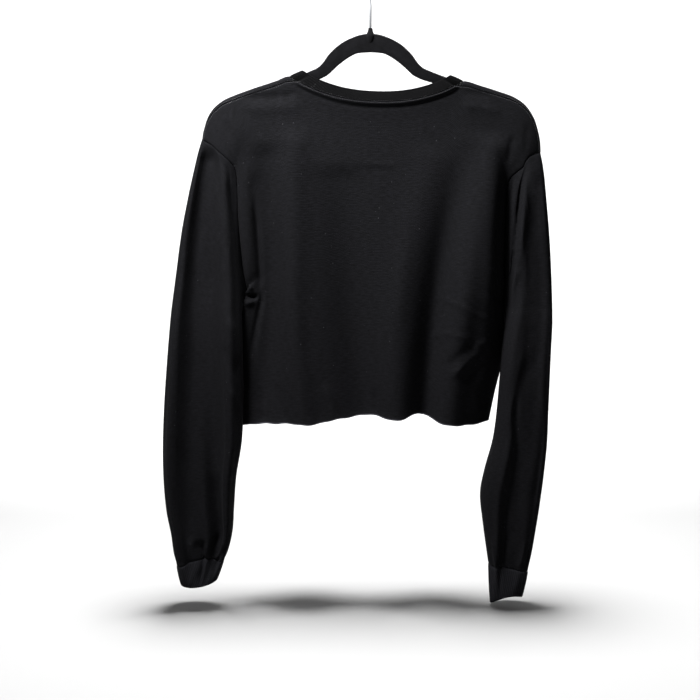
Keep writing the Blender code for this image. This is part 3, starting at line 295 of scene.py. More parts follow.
sleeve = {
    "outerRound": 3.2, "innerRound": 2.4,   # powers of the section's oval
    "sideways": 0.35,       # share of a fold's relief that also moves it sideways
    "settle": 0.6,          # share of the sleeve over which its columns become evenly spaced
    "seamHold": 0.11,       # share over which it leaves the armhole's line
    "foldRound": 0.08,      # part of the way round that lies over the shoulder fold
    "crevice": 0.46, "tipRound": 0.04,  # parts of the way round that the armhole's sides reach
    "underarmReach": 45,    # mm over which it turns to the sleeve's inner edge
    "cuffTilt": 4.5,        # cuff seam this much lower at its outer end than in its middle
}
cuff = {        # it swells out between its seam and its edge
    "high": 36, "swell": 0.7, "swellPower": 0.7, "seamDip": 0.9,
}
walls = {"jersey": 1.3, "neckband": 1.7, "cuff": 1.9}
seamDip = 0.7               # both sides of a seam sink this much into it


def foldHeight(across):
    return curve(shoulder["fold"], across)[0]


def seamDrop(across):
    side, corner = ("left", neck["corner"][0]) if across < 0 else ("right", neck["corner"][1])
    share = (across - corner) / (sides[side]["tip"] - corner)
    return mix(shoulder["seamDropAtNeck"], shoulder["seamDropAtTip"], min(max(share, 0.0), 1.0))


def wrapLength(across):
    radius = shoulder["radius"]
    return math.pi * radius + 2 * (seamDrop(across) - radius)


def overTheFold(across, travel):
    radius = shoulder["radius"]
    leg = seamDrop(across) - radius
    centre = foldHeight(across) - radius
    if travel < leg:
        return -radius, centre - leg + travel
    angle = (travel - leg) / radius
    if angle < math.pi:
        return -radius * math.cos(angle), centre + radius * math.sin(angle)
    return radius, centre - (travel - leg - math.pi * radius)


def neckOval(ends, share):
    return (ends[0] + ends[1]) / 2 - (ends[1] - ends[0]) / 2 * math.cos(math.pi * share)


def neckDip(across, ends):
    reach = abs(across - (ends[0] + ends[1]) / 2) / ((ends[1] - ends[0]) / 2)
    return 1 - min(reach, 1.0) ** neck["round"]


def neckHeight(face, across):
    dip = neckDip(across, neck["seam"])
    if face == "back":
        return foldHeight(across) - neck["seamDip"][0] * dip
    return foldHeight(across) - shoulder["seamDropAtNeck"] - neck["seamDip"][1] * dip


def panelDepth(face, across, height, share, edgeDepth):
    back = face == "back"
    below = max(foldHeight(across) - height, 0.0)
    full = curve(body["bulge"], below)[0 if back else 1]
    full += foldRelief(body[face + "Folds"], across, height)
    full += relief["deeper"] * creaseRelief(body[face + "Creases"], across, height)
    if neck["seam"][0] < across < neck["seam"][1]:
        gap = max(neckHeight(face, across) - height, 0.0)
        dip = neckDip(across, neck["seam"])
        full += neck["rise"] * dip * math.exp(-(gap / neck["riseReach"]) ** 2)
        full += neck["roll"] * ease(dip * 3) * math.exp(-(gap / neck["rollReach"]) ** 4)
        into = (gap - neck["grooveDrop"]) / neck["grooveReach"]
        full -= neck["groove"] * ease(dip * 3) * math.exp(-into ** 2)
    power = curve(body["squareness"], height)[0]
    profile = max(1 - min(abs(share), 1.0) ** power, 0.0) ** 0.5
    return edgeDepth * (1 - profile) + (-1 if back else 1) * full * profile


def edgeHeights(side):
    edge, underarm = sides[side]["edge"], sides[side]["underarm"]
    tip, hem = edge[-1][0], edge[0][0]
    rows = cells["armhole"]
    down = [mix(tip, underarm, (n / rows) ** body["armholeCrowding"]) for n in range(rows)]
    return down + [mix(underarm, hem, n / cells["side"]) for n in range(cells["side"] + 1)]


heights = {side: edgeHeights(side) for side in sides}
neckCells = {"back": cells["backNeck"], "front": cells["frontNeck"] + 2 * cells["wrap"]}


def shoulderPlaces(corner, tip):
    steps = 120
    line = [Vector((across, foldHeight(across)))
            for across in (mix(tip, corner, n / steps) for n in range(steps + 1))]
    lengths = pathLengths(line)
    places = []
    for cell in range(cells["shoulder"]):
        n, share = stretchAt(lengths, lengths[-1] * cell / cells["shoulder"])
        places.append(mix(line[n].x, line[n + 1].x, share))
    return places


def cornerLean(step):
    lean = neck["corner"][0] - neck["seam"][0]
    return lean * math.sin(math.pi / 2 * min(2 * step / cells["wrap"], 1.0))


def topPlaces(face):
    left, right = neck["corner"]
    places = shoulderPlaces(left, sides["left"]["tip"])
    if face == "back":
        for n in range(cells["backNeck"] + 1):
            even = n / cells["backNeck"]
            places.append(mix(left, right, (even + 0.5 - 0.5 * math.cos(math.pi * even)) / 2))
    else:
        places += [left - cornerLean(step) for step in range(cells["wrap"])]
        places += [neckOval(neck["seam"], n / cells["frontNeck"])
                   for n in range(cells["frontNeck"] + 1)]
        places += [right + cornerLean(step) for step in reversed(range(cells["wrap"]))]
    places += reversed(shoulderPlaces(right, sides["right"]["tip"]))
    return places


def heldPlace(face, row, column, tops, shifts):
    last = len(tops) - 1
    onLeft = column < last / 2
    steps = column if onLeft else last - column
    outwards = -1 if onLeft else 1
    corner = neck["corner"][0 if onLeft else 1]
    spread = neck["spread"] / cells["wrap"]
    wrapped = min(row, cells["wrap"]) if face == "front" else 0
    if steps < cells["shoulder"]:
        tip = sides["left" if onLeft else "right"]["tip"]
        share = (tops[column] - corner) / (tip - corner)
        wide = cornerLean(wrapped) + spread * wrapped
        return tops[column] + shifts[0 if onLeft else 1] * share + outwards * wide * (1 - share)
    if face == "back" or steps > cells["shoulder"] + cells["wrap"]:
        return tops[column]
    start = steps - cells["shoulder"]
    down = min(wrapped, cells["wrap"] - start)
    return corner + outwards * (cornerLean(start + down) + spread * down)


def topTravel(face, column, top):
    nearest = min(column - cells["shoulder"], cells["shoulder"] + neckCells[face] - column)
    if nearest <= 0:
        return 0.0
    if nearest < cells["wrap"]:
        return wrapLength(top) * nearest / cells["wrap"]
    return wrapLength(top) + foldHeight(top) - seamDrop(top) - neckHeight(face, top)


# small unevenness of the scissors' cut
def rawCut(across):
    waves = [high * math.sin(across / long + start) for high, long, start in body["ragged"]]
    return sum(waves) - body["raggedLow"]


def panelPoint(face, row, column, across, share, fall, edgeDepth, top):
    hem = curve(body[face + "Hem"], across)[0] + rawCut(across) * fall ** 8
    seam = foldHeight(top) - seamDrop(top)
    if face == "back":
        onNeck = cells["shoulder"] <= column <= cells["shoulder"] + cells["backNeck"]
        start = min(neckHeight("back", top), seam) if onNeck else seam
        if row == 0 and start == seam:
            return Vector((top, -shoulder["radius"], seam))
        height = mix(start, hem, fall)
    else:
        wrap = wrapLength(top)
        total = wrap + seam - hem
        wrapped = wrap * min(row, cells["wrap"]) / cells["wrap"]
        rowShare = (wrapped + (seam - hem) * fall) / total
        travel = mix(topTravel(face, column, top), total, rowShare)
        if travel < wrap:
            depth, height = overTheFold(across, travel)
            return Vector((across, depth, height))
        height = seam - (travel - wrap)
    depth = panelDepth(face, across, height, share, edgeDepth)
    curl = body["curl"] * math.exp(-(height - hem) / body["curlReach"])
    return Vector((across, depth + (-curl if face == "back" else curl), height))


def panelPoints(face):
    wrapRows = 0 if face == "back" else cells["wrap"]
    tops = topPlaces(face)
    last = len(tops) - 1
    crowded = body["edgeCrowding"]
    rows = []
    for row in range(wrapRows + cells["armhole"] + cells["side"] + 1):
        edges, falls = [], []
        for side in ("left", "right"):
            height = heights[side][max(row - wrapRows, 0)]
            across, *depths = curve(sides[side]["edge"], height)
            edges.append(Vector((across, depths[0 if face == "back" else 1], height)))
            falls.append((heights[side][0] - height) / (heights[side][0] - heights[side][-1]))
        release = (1 - min((falls[0] + falls[1]), 1.0)) ** 2
        shifts = [edges[0].x - sides["left"]["tip"], edges[1].x - sides["right"]["tip"]]
        points = []
        for column, top in enumerate(tops):
            even = -1 + 2 * column / last
            low = (1 - crowded) * even + crowded * math.sin(math.pi / 2 * even)
            across = mix(mix(edges[0].x, edges[1].x, (low + 1) / 2),
                         heldPlace(face, row, column, tops, shifts), release)
            share = (across - edges[0].x) / (edges[1].x - edges[0].x)
            points.append(panelPoint(face, row, column, across, 2 * share - 1,
                                     mix(falls[0], falls[1], share),
                                     mix(edges[0].y, edges[1].y, share), top))
        if row >= wrapRows:
            points[0], points[-1] = edges
        rows.append(points)
    return rows


# sleeves and cuffs

def armholeLoop(side):
    edge, tip = sides[side]["edge"], sides[side]["tip"]
    back, front, wrap = [], [], []
    for height in heights[side][:cells["armhole"] + 1]:
        across, backDepth, frontDepth = curve(edge, height)
        back.append(Vector((across, backDepth, height)))
        front.append(Vector((across, frontDepth, height)))
    for n in range(1, cells["wrap"]):
        depth, height = overTheFold(tip, wrapLength(tip) * n / cells["wrap"])
        wrap.append(Vector((tip, depth, height)))
    return back + front[-2::-1] + wrap[::-1]


def ringTurn(index):
    return ((index + cells["wrap"] / 2) / ringCells) % 1.0


def sleeveSection(side, turn, height):
    table = sides[side]
    outer, inner, middle, depth = curve(table["sleeve"], height)
    centre, half = (outer + inner) / 2, (outer - inner) / 2
    cosine, sine = math.cos(2 * math.pi * turn), math.sin(2 * math.pi * turn)
    out = relief["deeper"] * creaseRelief(table["creases"], turn, height, relief["sleeveGirth"])
    out += foldRelief(table["folds"], turn, height)
    power = 2 / sleeve["outerRound" if cosine > 0 else "innerRound"]
    sideways = math.copysign(abs(cosine) ** power, cosine)
    backwards = math.copysign(abs(sine) ** power, sine)
    wide = half + math.copysign(out * sleeve["sideways"], half)
    return Vector((centre + sideways * wide, middle - backwards * (depth + out), height))


def armholeTurn(side, point, index):
    if index > 2 * cells["armhole"]:
        steps = index - (2 * cells["armhole"] + cells["wrap"] / 2)
        return (steps * sleeve["foldRound"] / cells["wrap"]) % 1.0
    outer, inner, _, _ = curve(sides[side]["sleeve"], point.z)
    cosine = min(max((point.x - (outer + inner) / 2) / ((outer - inner) / 2), -1.0), 1.0)
    turn = min(math.acos(cosine) / (2 * math.pi), sleeve["crevice"])
    above = ease((point.z - sides[side]["underarm"]) / sleeve["underarmReach"])
    turn = max(mix(0.5, turn, above), sleeve["tipRound"])
    return turn if index <= cells["armhole"] else 1 - turn


def sleevePoints(side):
    loop = armholeLoop(side)
    starts = [armholeTurn(side, point, n) for n, point in enumerate(loop)]
    offsets = [point - sleeveSection(side, turn, point.z) for point, turn in zip(loop, starts)]
    foot = sides[side]["sleeve"][0][0]
    archTurn, archReach, archHigh = sides[side]["arch"]
    rings = []
    for row in range(cells["sleeve"] + 1):
        share = row / cells["sleeve"]
        ring = []
        for n, point in enumerate(loop):
            start, end = starts[n], ringTurn(n)
            start -= 1.0 if start - end > 0.5 else 0.0
            end -= 1.0 if end - start > 0.5 else 0.0
            turn = mix(start, end, ease(share / sleeve["settle"])) % 1.0
            low = foot - sleeve["cuffTilt"] * math.cos(2 * math.pi * ringTurn(n))
            low += archHigh * math.exp(-((ringTurn(n) - archTurn) / archReach) ** 2)
            held = max(1 - share / sleeve["seamHold"], 0) ** 2
            place = sleeveSection(side, turn, mix(point.z, low, share))
            ring.append(place + offsets[n] * held)
        rings.append(ring)
    return rings


def cuffPoints(side, top):
    outer, inner, outerHeight, innerHeight, lift, middle, depth = sides[side]["cuff"]
    rings = []
    for row in range(cells["cuff"] + 1):
        share = row / cells["cuff"]
        ring = []
        for n, start in enumerate(top):
            angle = 2 * math.pi * ringTurn(n)
            cosine, sine = math.cos(angle), math.sin(angle)
            height = mix(innerHeight, outerHeight, (cosine + 1) / 2) + lift * sine ** 2
            end = Vector(((outer + inner) / 2 + (outer - inner) / 2 * cosine,
                          middle - depth * sine, height))
            swell = cuff["swell"] * math.sin(math.pi * share) ** cuff["swellPower"]
            swell += creaseRelief(sides[side]["cuffCreases"], ringTurn(n), -cuff["high"] * share,
                                  relief["cuffGirth"])
            out = Vector((cosine if side == "right" else -cosine, -sine, 0)) * swell
            ring.append(start.lerp(end, share) + out)
        rings.append(ring)
    return rings


# neckband

def bandChord(across):
    share = (across - neck["edge"][0]) / (neck["edge"][1] - neck["edge"][0])
    return mix(*neck["edgeHeight"], share)


def bandEdgeBack(across):
    dip = neckDip(across, neck["edge"])
    lean = shoulder["radius"] - neck["lean"]
    lean *= ease((dip - neck["leanStart"]) / (1 - neck["leanStart"]))
    return Vector((across, lean - shoulder["radius"],
                   bandChord(across) - neck["edgeDip"][0] * dip))


def bandEdgeFold(end, step):
    angle = math.pi * step / cells["wrap"]
    crest, corner = neck["edge"][end], neck["edgeCorner"][end]
    foot = neck["foot"][0 if math.cos(angle) > 0 else 1]
    across = mix(corner, crest, min(math.sin(angle / 2) * math.sqrt(2), 1.0))
    return Vector((across, -shoulder["radius"] * math.cos(angle),
                   bandChord(crest) - foot * (1 - math.sin(angle))))


def bandEdgeFront(share):
    across = neckOval(neck["edge"], share)
    dip = neckDip(across, neck["edge"])
    height = bandChord(across) - neck["foot"][1] - neck["edgeDip"][1] * dip
    return Vector((across, shoulder["radius"], height))


# way into the cloth where it lies over the hanger
def inwards(point):
    flat = neck["tilt"] * max(-1.0, min(1.0, point.y / shoulder["radius"]))
    return Vector((0, -flat, -math.sqrt(1 - flat * flat)))


def bandPoints(back, front):
    first = cells["shoulder"]
    seam = back[0][first:first + neckCells["back"] + 1]
    seam = seam + [front[0][n] for n in range(first + neckCells["front"] - 1, first, -1)]
    left, right = neck["corner"]
    edge = [bandEdgeBack(mix(*neck["edgeCorner"], (point.x - left) / (right - left)))
            for point in seam[:cells["backNeck"] + 1]]
    edge += [bandEdgeFold(1, step) for step in range(1, cells["wrap"])]
    edge += [bandEdgeFront(1 - n / cells["frontNeck"]) for n in range(cells["frontNeck"] + 1)]
    edge += [bandEdgeFold(0, step) for step in range(cells["wrap"] - 1, 0, -1)]
    rings = []
    for row in range(cells["band"] + 1):
        share = row / cells["band"]
        crown = neck["crown"] * math.sin(math.pi * share)
        rings.append([a.lerp(b, share) - inwards(a.lerp(b, share)) * crown
                      for a, b in zip(seam, edge)])
    return rings


# a sheet of cloth from its rows of points, with a UV map in metres along and down it; the
# middle of the probed column faces -Y or +Y, as facing says
def clothSheet(name, rows, closed, thick, probed, facing, material):
    down = len(rows) - 1
    count = len(rows[0])
    around = count if closed else count - 1
    columns = [[row[c % count] for row in rows] for c in range(around + 1)]
    across = [pathLengths(line) for line in zip(*columns)]
    middle = 0 if closed else around // 2
    fallen = [pathLengths(column) for column in columns]
    bm = bmesh.new()
    bmesh.ops.create_grid(bm, x_segments=around, y_segments=down, size=0.5, calc_uvs=True)
    uv = bm.loops.layers.uv.verify()
    place = {v: (round((0.5 - v.co.y) * down), round((v.co.x + 0.5) * around))
             for v in bm.verts}
    for face in bm.faces:
        for loop in face.loops:
            row, column = place[loop.vert]
            loop[uv].uv = ((across[row][column] - across[row][middle]) * mm,
                           (fallen[column][-1] - fallen[column][row]) * mm)
    probe = next(v for v, spot in place.items() if spot == (down // 2, probed))
    for v, (row, column) in place.items():
        v.co = columns[column][row]
    bm.normal_update()
    if probe.normal.y * facing < 0:
        bmesh.ops.reverse_faces(bm, faces=bm.faces)
    if closed:
        bmesh.ops.remove_doubles(bm, verts=bm.verts, dist=0.001)
    piece = finished(bm, name, material)
    wall = piece.modifiers.new("wall", "SOLIDIFY")
    wall.thickness = thick * mm
    wall.offset = -1
    return piece


def finished(bm, name, material):
    bmesh.ops.scale(bm, verts=bm.verts, vec=(mm, mm, mm))
    mesh = bpy.data.meshes.new(name)
    bm.to_mesh(mesh)
    bm.free()
    mesh.shade_smooth()
    mesh.materials.append(material)
    piece = bpy.data.objects.new(name, mesh)
    bpy.context.collection.objects.link(piece)
    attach(piece, "root")
    return piece


# materials

def hexColour(value):
    channels = [int(value[n:n + 2], 16) / 255 for n in (1, 3, 5)]
    return (*[c / 12.92 if c <= 0.04045 else ((c + 0.055) / 1.055) ** 2.4 for c in channels], 1)


def setInputs(node, inputs):
    for key, value in inputs.items():
        if isinstance(value, bpy.types.NodeSocket):
            node.id_data.links.new(value, node.inputs[key])
        else:
            node.inputs[key].default_value = hexColour(value) if isinstance(value, str) else value


def addNode(tree, kind, inputs, **settings):
    node = tree.nodes.new("ShaderNode" + kind)
    for key, value in settings.items():
        setattr(node, key, value)
    setInputs(node, inputs)
    return node


def newMaterial(name, values):
    material = bpy.data.materials.new(name)
    material.use_nodes = True
    shader = material.node_tree.nodes["Principled BSDF"]
    setInputs(shader, values)
    return material, shader, partial(addNode, material.node_tree)


# from one colour to another as a value crosses a span
def toned(add, value, span, dark, pale):
    share = add("MapRange", {"Value": value, "From Min": span[0], "From Max": span[1]})
    return add("Mix", {0: share.outputs[0], 6: dark, 7: pale}, data_type="RGBA").outputs[2]


def finishShader(add, shader, colour, height, bump):
    rough = add("Bump", {"Height": height, "Strength": bump[0], "Distance": bump[1] * mm})
    setInputs(shader, {"Base Color": colour, "Normal": rough.outputs["Normal"]})


# where a point of knit lies: in mm along the cloth, and in space for its fuzz
def knitPlaces(add):
    uv = add("UVMap", {}).outputs["UV"]
    inMm = add("VectorMath", {0: uv, "Scale": 1 / mm}, operation="SCALE").outputs[0]
    return inMm, add("TexCoord", {}).outputs["Object"]


# a wave texture of scale 1 has 20 bands to every two pi
def bandScale(pitch):
    return 2 * math.pi / 20 / pitch


knit = {"Specular IOR Level": 0.02, "Sheen Roughness": 0.45, "Sheen Tint": "#b9b9c2"}
jersey = {
    "shader": {"Roughness": 0.95, "Sheen Weight": 0.007, **knit},
    "black": "#0a0a0b", "faded": "#111113", "fade": (0.72, 1.08),
    "course": 2.1,      # mm from row to row; the real 0.7 mm rows are too fine to show
    "wale": 2.4,        # mm from loop to loop along a row, as coarse for the same reason
    "loopShare": 0.45,  # the loops' relief beside that of the rows
    "loose": 1.6,       # mm that the rows wander
    "streak": (9.0, 1.7),   # mm, how long and how tall a paler run of stitches is
    "fibre": 0.6, "fibreTone": 0.8, "fibreRelief": 0.9, "bump": (0.38, 0.22),
    "lint": "#5c5c60", "lintSpacing": 11.0, "lintEdge": (0.07, 0.035), "lintRare": 0.62,
    "lintStrength": 0.22,
    # painted highlight along the raw hem: its colour, and the mm above the cut over which it fades
    # in
    "hemHighlight": "#4a4a50", "hemHighlightSpan": (2.0, 0.6),
}


# combed cotton single jersey, piece-dyed black: a deep matte that shows little but its folds,
# with faintly paler runs of stitches, a fine fuzz and a few specks of lint
def jerseyMaterial(name, hemHighlighted):
    material, shader, add = newMaterial(name, jersey["shader"])
    inMm, place = knitPlaces(add)
    wobble = add("TexNoise", {"Vector": inMm, "Scale": 0.12, "Detail": 2.0}).outputs["Color"]
    loose = add("VectorMath", {0: wobble, 1: (jersey["loose"], jersey["loose"], 0), 2: inMm},
                operation="MULTIPLY_ADD").outputs[0]
    rows = add("TexWave", {"Vector": loose, "Scale": bandScale(jersey["course"]),
                           "Distortion": 0.6, "Detail": 1.0, "Detail Scale": 2.0},
               bands_direction="Y").outputs["Fac"]
    loops = add("TexWave", {"Vector": loose, "Scale": bandScale(jersey["wale"]),
                            "Distortion": 0.8, "Detail": 1.0}).outputs["Fac"]
    stitched = add("Math", {0: loops, 1: jersey["loopShare"], 2: rows},
                   operation="MULTIPLY_ADD").outputs[0]
    fuzz = add("TexNoise", {"Vector": place, "Scale": 1 / (jersey["fibre"] * mm),
                            "Detail": 3.0, "Roughness": 0.65}).outputs["Fac"]
    along = add("VectorMath", {0: inMm, 1: (*[1 / size for size in jersey["streak"]], 1)},
                operation="MULTIPLY").outputs[0]
    streaks = add("TexNoise", {"Vector": along, "Scale": 1.0, "Detail": 3.0,
                               "Roughness": 0.6}).outputs["Fac"]
    blend = add("Math", {0: fuzz, 1: jersey["fibreTone"], 2: streaks},
                operation="MULTIPLY_ADD").outputs[0]
    colour = toned(add, blend, jersey["fade"], jersey["black"], jersey["faded"])
    lint = add("TexVoronoi", {"Vector": place, "Scale": 1 / (jersey["lintSpacing"] * mm)})
    speck = add("MapRange", {"Value": lint.outputs["Distance"],
                             "From Min": jersey["lintEdge"][0],
                             "From Max": jersey["lintEdge"][1]}).outputs[0]
    rare = add("Math", {0: lint.outputs["Color"], 1: jersey["lintRare"]},
               operation="GREATER_THAN").outputs[0]
    shown = add("Math", {0: speck, 1: rare}, operation="MULTIPLY").outputs[0]
    faint = add("Math", {0: shown, 1: jersey["lintStrength"]}, operation="MULTIPLY").outputs[0]
    colour = add("Mix", {0: faint, 6: colour, 7: jersey["lint"]}, data_type="RGBA").outputs[2]
    if hemHighlighted:           # painted highlight: the last millimetres above the raw cut turn paler, where the curled edge catches light
        height = add("SeparateXYZ", {"Vector": inMm}).outputs["Y"]
        colour = toned(add, height, jersey["hemHighlightSpan"], colour, jersey["hemHighlight"])
    height = add("Math", {0: fuzz, 1: jersey["fibreRelief"], 2: stitched},
                 operation="MULTIPLY_ADD").outputs[0]
    finishShader(add, shader, colour, height, jersey["bump"])
    return material


rib = {
    "shader": {"Roughness": 0.9, "Sheen Weight": 0.003, **knit},
    # painted shade: each pair's first colour darkens the furrows, and the neck's pair is far darker
    # than the cuff's so that the band stays dark under the lamp above
    "neck": ("#020202", "#070708"), "cuff": ("#111113", "#1b1b1e"),     # furrow and ridge
    "fade": (0.05, 0.55), "pitch": 2.6, "fibre": 0.5, "fibreRelief": 0.35, "bump": (0.6, 0.4),
}


# 1 by 1 cotton rib: fine raised wales with painted shade in the furrows between them; the
#                    neckband's copy is darker all over as painted shade, for the light the band
#                    catches from the lamp above
def ribMaterial(name, furrowShade, ridge):
    material, shader, add = newMaterial(name, rib["shader"])
    inMm, place = knitPlaces(add)
    wales = add("TexWave", {"Vector": inMm, "Scale": bandScale(rib["pitch"]),
                            "Distortion": 0.5, "Detail": 1.0,
                            "Detail Scale": 0.6}).outputs["Fac"]
    fuzz = add("TexNoise", {"Vector": place, "Scale": 1 / (rib["fibre"] * mm),
                            "Detail": 3.0}).outputs["Fac"]
    tone = add("Math", {0: wales, 1: fuzz}, operation="MULTIPLY").outputs[0]
    colour = toned(add, tone, rib["fade"], furrowShade, ridge)
    height = add("Math", {0: fuzz, 1: rib["fibreRelief"], 2: wales},
                 operation="MULTIPLY_ADD").outputs[0]
    finishShader(add, shader, colour, height, rib["bump"])
    return material


flock = {
    "shader": {"Roughness": 1.0, "Specular IOR Level": 0.1, "Sheen Weight": 0.03,
               "Sheen Roughness": 0.5, "Sheen Tint": "#8c8c94"},
    "black": "#030304", "tip": "#09090b", "fade": (0.18, 0.4),
    "pile": 0.7, "rub": 9.0, "bump": (0.7, 0.3),
}


# flocked plastic: short upright nylon fibres, dull face-on and paler where the pile is rubbed
def flockMaterial():
    material, shader, add = newMaterial("flockedNylonPile", flock["shader"])
    place = add("TexCoord", {}).outputs["Object"]
    pile = add("TexNoise", {"Vector": place, "Scale": 1 / (flock["pile"] * mm), "Detail": 3.0,
                            "Roughness": 0.7}).outputs["Fac"]
    rubbed = add("TexNoise", {"Vector": place, "Scale": 1 / (flock["rub"] * mm),
                              "Detail": 3.0}).outputs["Fac"]
    tone = add("Math", {0: pile, 1: rubbed}, operation="MULTIPLY").outputs[0]
    colour = toned(add, tone, flock["fade"], flock["black"], flock["tip"])
    finishShader(add, shader, colour, pile, flock["bump"])
    return material


wire = {
    "shader": {"Roughness": 0.45, "Metallic": 0.6},
    "zinc": "#a9abae", "dull": "#7d7f83", "drawn": 3.0, "bump": (0.15, 0.1),
}


# zinc-plated steel wire: dulled plating, with faint marks left by drawing it
def wireMaterial():
    material, shader, add = newMaterial("zincPlatedSteelWire", wire["shader"])
    place = add("TexCoord", {}).outputs["Object"]
    marks = add("TexNoise", {"Vector": place, "Scale": 1 / (wire["drawn"] * mm),
                             "Detail": 4.0}).outputs["Fac"]
    colour = add("Mix", {0: marks, 6: wire["dull"], 7: wire["zinc"]}, data_type="RGBA").outputs[2]
    finishShader(add, shader, colour, marks, wire["bump"])
    return material


thread = {
    "shader": {"Roughness": 0.55, "Sheen Weight": 0.15},
    "dark": "#1b1b1d", "pale": "#303034", "ply": 900.0,     # patches of twist to a metre
}


# spun polyester sewing thread: a little shinier than the knit it lies on
def threadMaterial():
    material, shader, add = newMaterial("spunPolyesterThread", thread["shader"])
    place = add("TexCoord", {}).outputs["Object"]
    ply = add("TexNoise", {"Vector": place, "Scale": thread["ply"]}).outputs["Fac"]
    colour = add("Mix", {0: ply, 6: thread["dark"], 7: thread["pale"]}, data_type="RGBA").outputs[2]
    setInputs(shader, {"Base Color": colour})
    return material


panelJersey = jerseyMaterial("cottonJerseyHemHighlight", True)
sleeveJersey = jerseyMaterial("cottonJersey", False)
shadedNeckRib = ribMaterial("cottonRibNeckShaded", *rib["neck"])
cuffRib = ribMaterial("cottonRibCuff", *rib["cuff"])
sewingThread = threadMaterial()
print("materials made")

# seams sink a little, so that the pieces' edges meet in a fine groove
back = panelPoints("back")
front = panelPoints("front")
band = bandPoints(back, front)
sleeves = {side: sleevePoints(side) for side in sides}
cuffs = {side: cuffPoints(side, sleeves[side][-1]) for side in sides}
neckSeam, neckAbove = list(band[0]), list(band[1])
joinPlace = min(range(cells["backNeck"]), key=lambda n: abs(band[0][n].x - neck["join"]))
bandJoin = [row[joinPlace] for row in band]     # where the ring of rib is closed
firstNeck = cells["shoulder"]
neckBelow = back[1][firstNeck:firstNeck + neckCells["back"] + 1]
neckBelow += front[1][firstNeck + neckCells["front"] - 1:firstNeck:-1]
shoulderSeams = [list(zip(front[0], back[1], front[1]))[:firstNeck + 1],
                 list(zip(front[0][::-1], back[1][::-1], front[1][::-1]))[:firstNeck + 1]]


def sink(points, places):
    for n in places:
        points[n] = points[n] + inwards(points[n]) * seamDip


for rows, wrapRows in ((back, 0), (front, cells["wrap"])):
    sink(rows[0], range(len(rows[0])))
    for row in range(1, wrapRows + cells["armhole"] + 1):
        sink(rows[row], (0, -1))
sink(band[0], range(len(band[0])))
for side in sides:
    sink(sleeves[side][0], range(ringCells))
    centre = sum(sleeves[side][-1], Vector()) / ringCells
    for n in range(ringCells):
        towards = (centre - sleeves[side][-1][n]).normalized() * cuff["seamDip"]
        sleeves[side][-1][n] = sleeves[side][-1][n] + towards
        cuffs[side][0][n] = cuffs[side][0][n] + towards

quarter = cells["armhole"] // 2       # a column on the back of a sleeve
pieces = {
    "back": clothSheet("backPanel", back, False, walls["jersey"], len(back[0]) // 2, -1,
                       panelJersey),
    "front": clothSheet("frontPanel", front, False, walls["jersey"], len(front[0]) // 2, 1,
                        panelJersey),
    "neckband": clothSheet("neckband_rib", band, True, walls["neckband"],
                           cells["backNeck"] // 2, -1, shadedNeckRib),
}
for side in sides:
    pieces["sleeve_" + side] = clothSheet("sleeve_cloth_" + side, sleeves[side], True,
                                          walls["jersey"], quarter, -1, sleeveJersey)
    pieces["cuff_" + side] = clothSheet("cuff_rib_" + side, cuffs[side], True, walls["cuff"],
                                        quarter, -1, cuffRib)
for node, piece in pieces.items():
    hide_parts(node)
print("cloth made")


# coverstitch: two rows of short stitches beside a seam, each a small bead on the surface
stitch = {"length": 2.1, "pitch": 3.1, "thick": 0.42, "offset": 1.5, "sunk": 0.15}


def stitchRow(line, outs):
    line = [point - out * stitch["sunk"] for point, out in zip(line, outs)]
    lengths = pathLengths(line)
    size = Matrix.Diagonal((stitch["length"] / 2, stitch["thick"] / 2, stitch["thick"] / 2, 1))
    goal = stitch["pitch"] / 2
    while goal < lengths[-1]:
        n, share = stretchAt(lengths, goal)
        along = (line[n + 1] - line[n]).normalized()
        aside = outs[n].lerp(outs[n + 1], share).cross(along).normalized()
        turned = Matrix((along, aside, along.cross(aside))).transposed().to_4x4()
        moved = Matrix.Translation(line[n].lerp(line[n + 1], share))
        bmesh.ops.create_icosphere(stitches, subdivisions=1, radius=1,
                                   matrix=moved @ turned @ size)
        goal += stitch["pitch"]


def beside(seam, other, distance):
    return seam + (other - seam).normalized() * distance


stitches = bmesh.new()
closing = list(range(len(neckSeam))) + [0]
for neighbours in (neckAbove, neckBelow):
    stitchRow([beside(neckSeam[n], neighbours[n], stitch["offset"]) for n in closing],
              [-inwards(neckSeam[n]) for n in closing])
for rows in shoulderSeams:
    for pick in (1, 2):
        stitchRow([beside(row[0], row[pick], stitch["offset"]) for row in rows],
                  [Vector((0, -1, 0))] * len(rows))
stitchRow(bandJoin, [-inwards(point) for point in bandJoin])
stitchPiece = finished(stitches, "coverstitch", sewingThread)
print("stitches made")


# hanger: the same outline as the solid, on a smooth curve, with a rounder edge
hanger = {
    "centre": -1.5, "thick": 5.0, "edge": 1.9, "edgeSteps": 5, "step": 3.0, "collarSides": 32,
    "rails": (      # out from the centre, top, bottom
        (0, -97, -121), (10, -98, -121.5), (19, -100.5, -123), (31, -105.5, -129.5),
        (43, -113, -138.5), (55, -124.5, -149.5), (61, -133, -153), (68, -140, -156),
        (78, -144.7, -159), (90, -149.4, -163), (106, -155, -169), (124, -161.2, -175.5),
        (152, -170.8, -186), (179, -181.6, -197), (194, -189.6, -206),
        (205, -199.8, -215), (211.5, -211.5, -221)),
    "collar": (     # radius, height: from the bore that takes the wire, out and down
        (0, -96.8), (1.8, -96.8), (1.8, -90.5), (2.1, -90.1), (2.5, -90.1), (2.8, -90.9),
        (3.3, -93.5), (4.2, -96), (5.2, -98.4), (5.45, -100), (5.4, -101.5), (4.8, -104),
        (4.0, -106.5), (2.4, -109.5), (0, -111)),
}


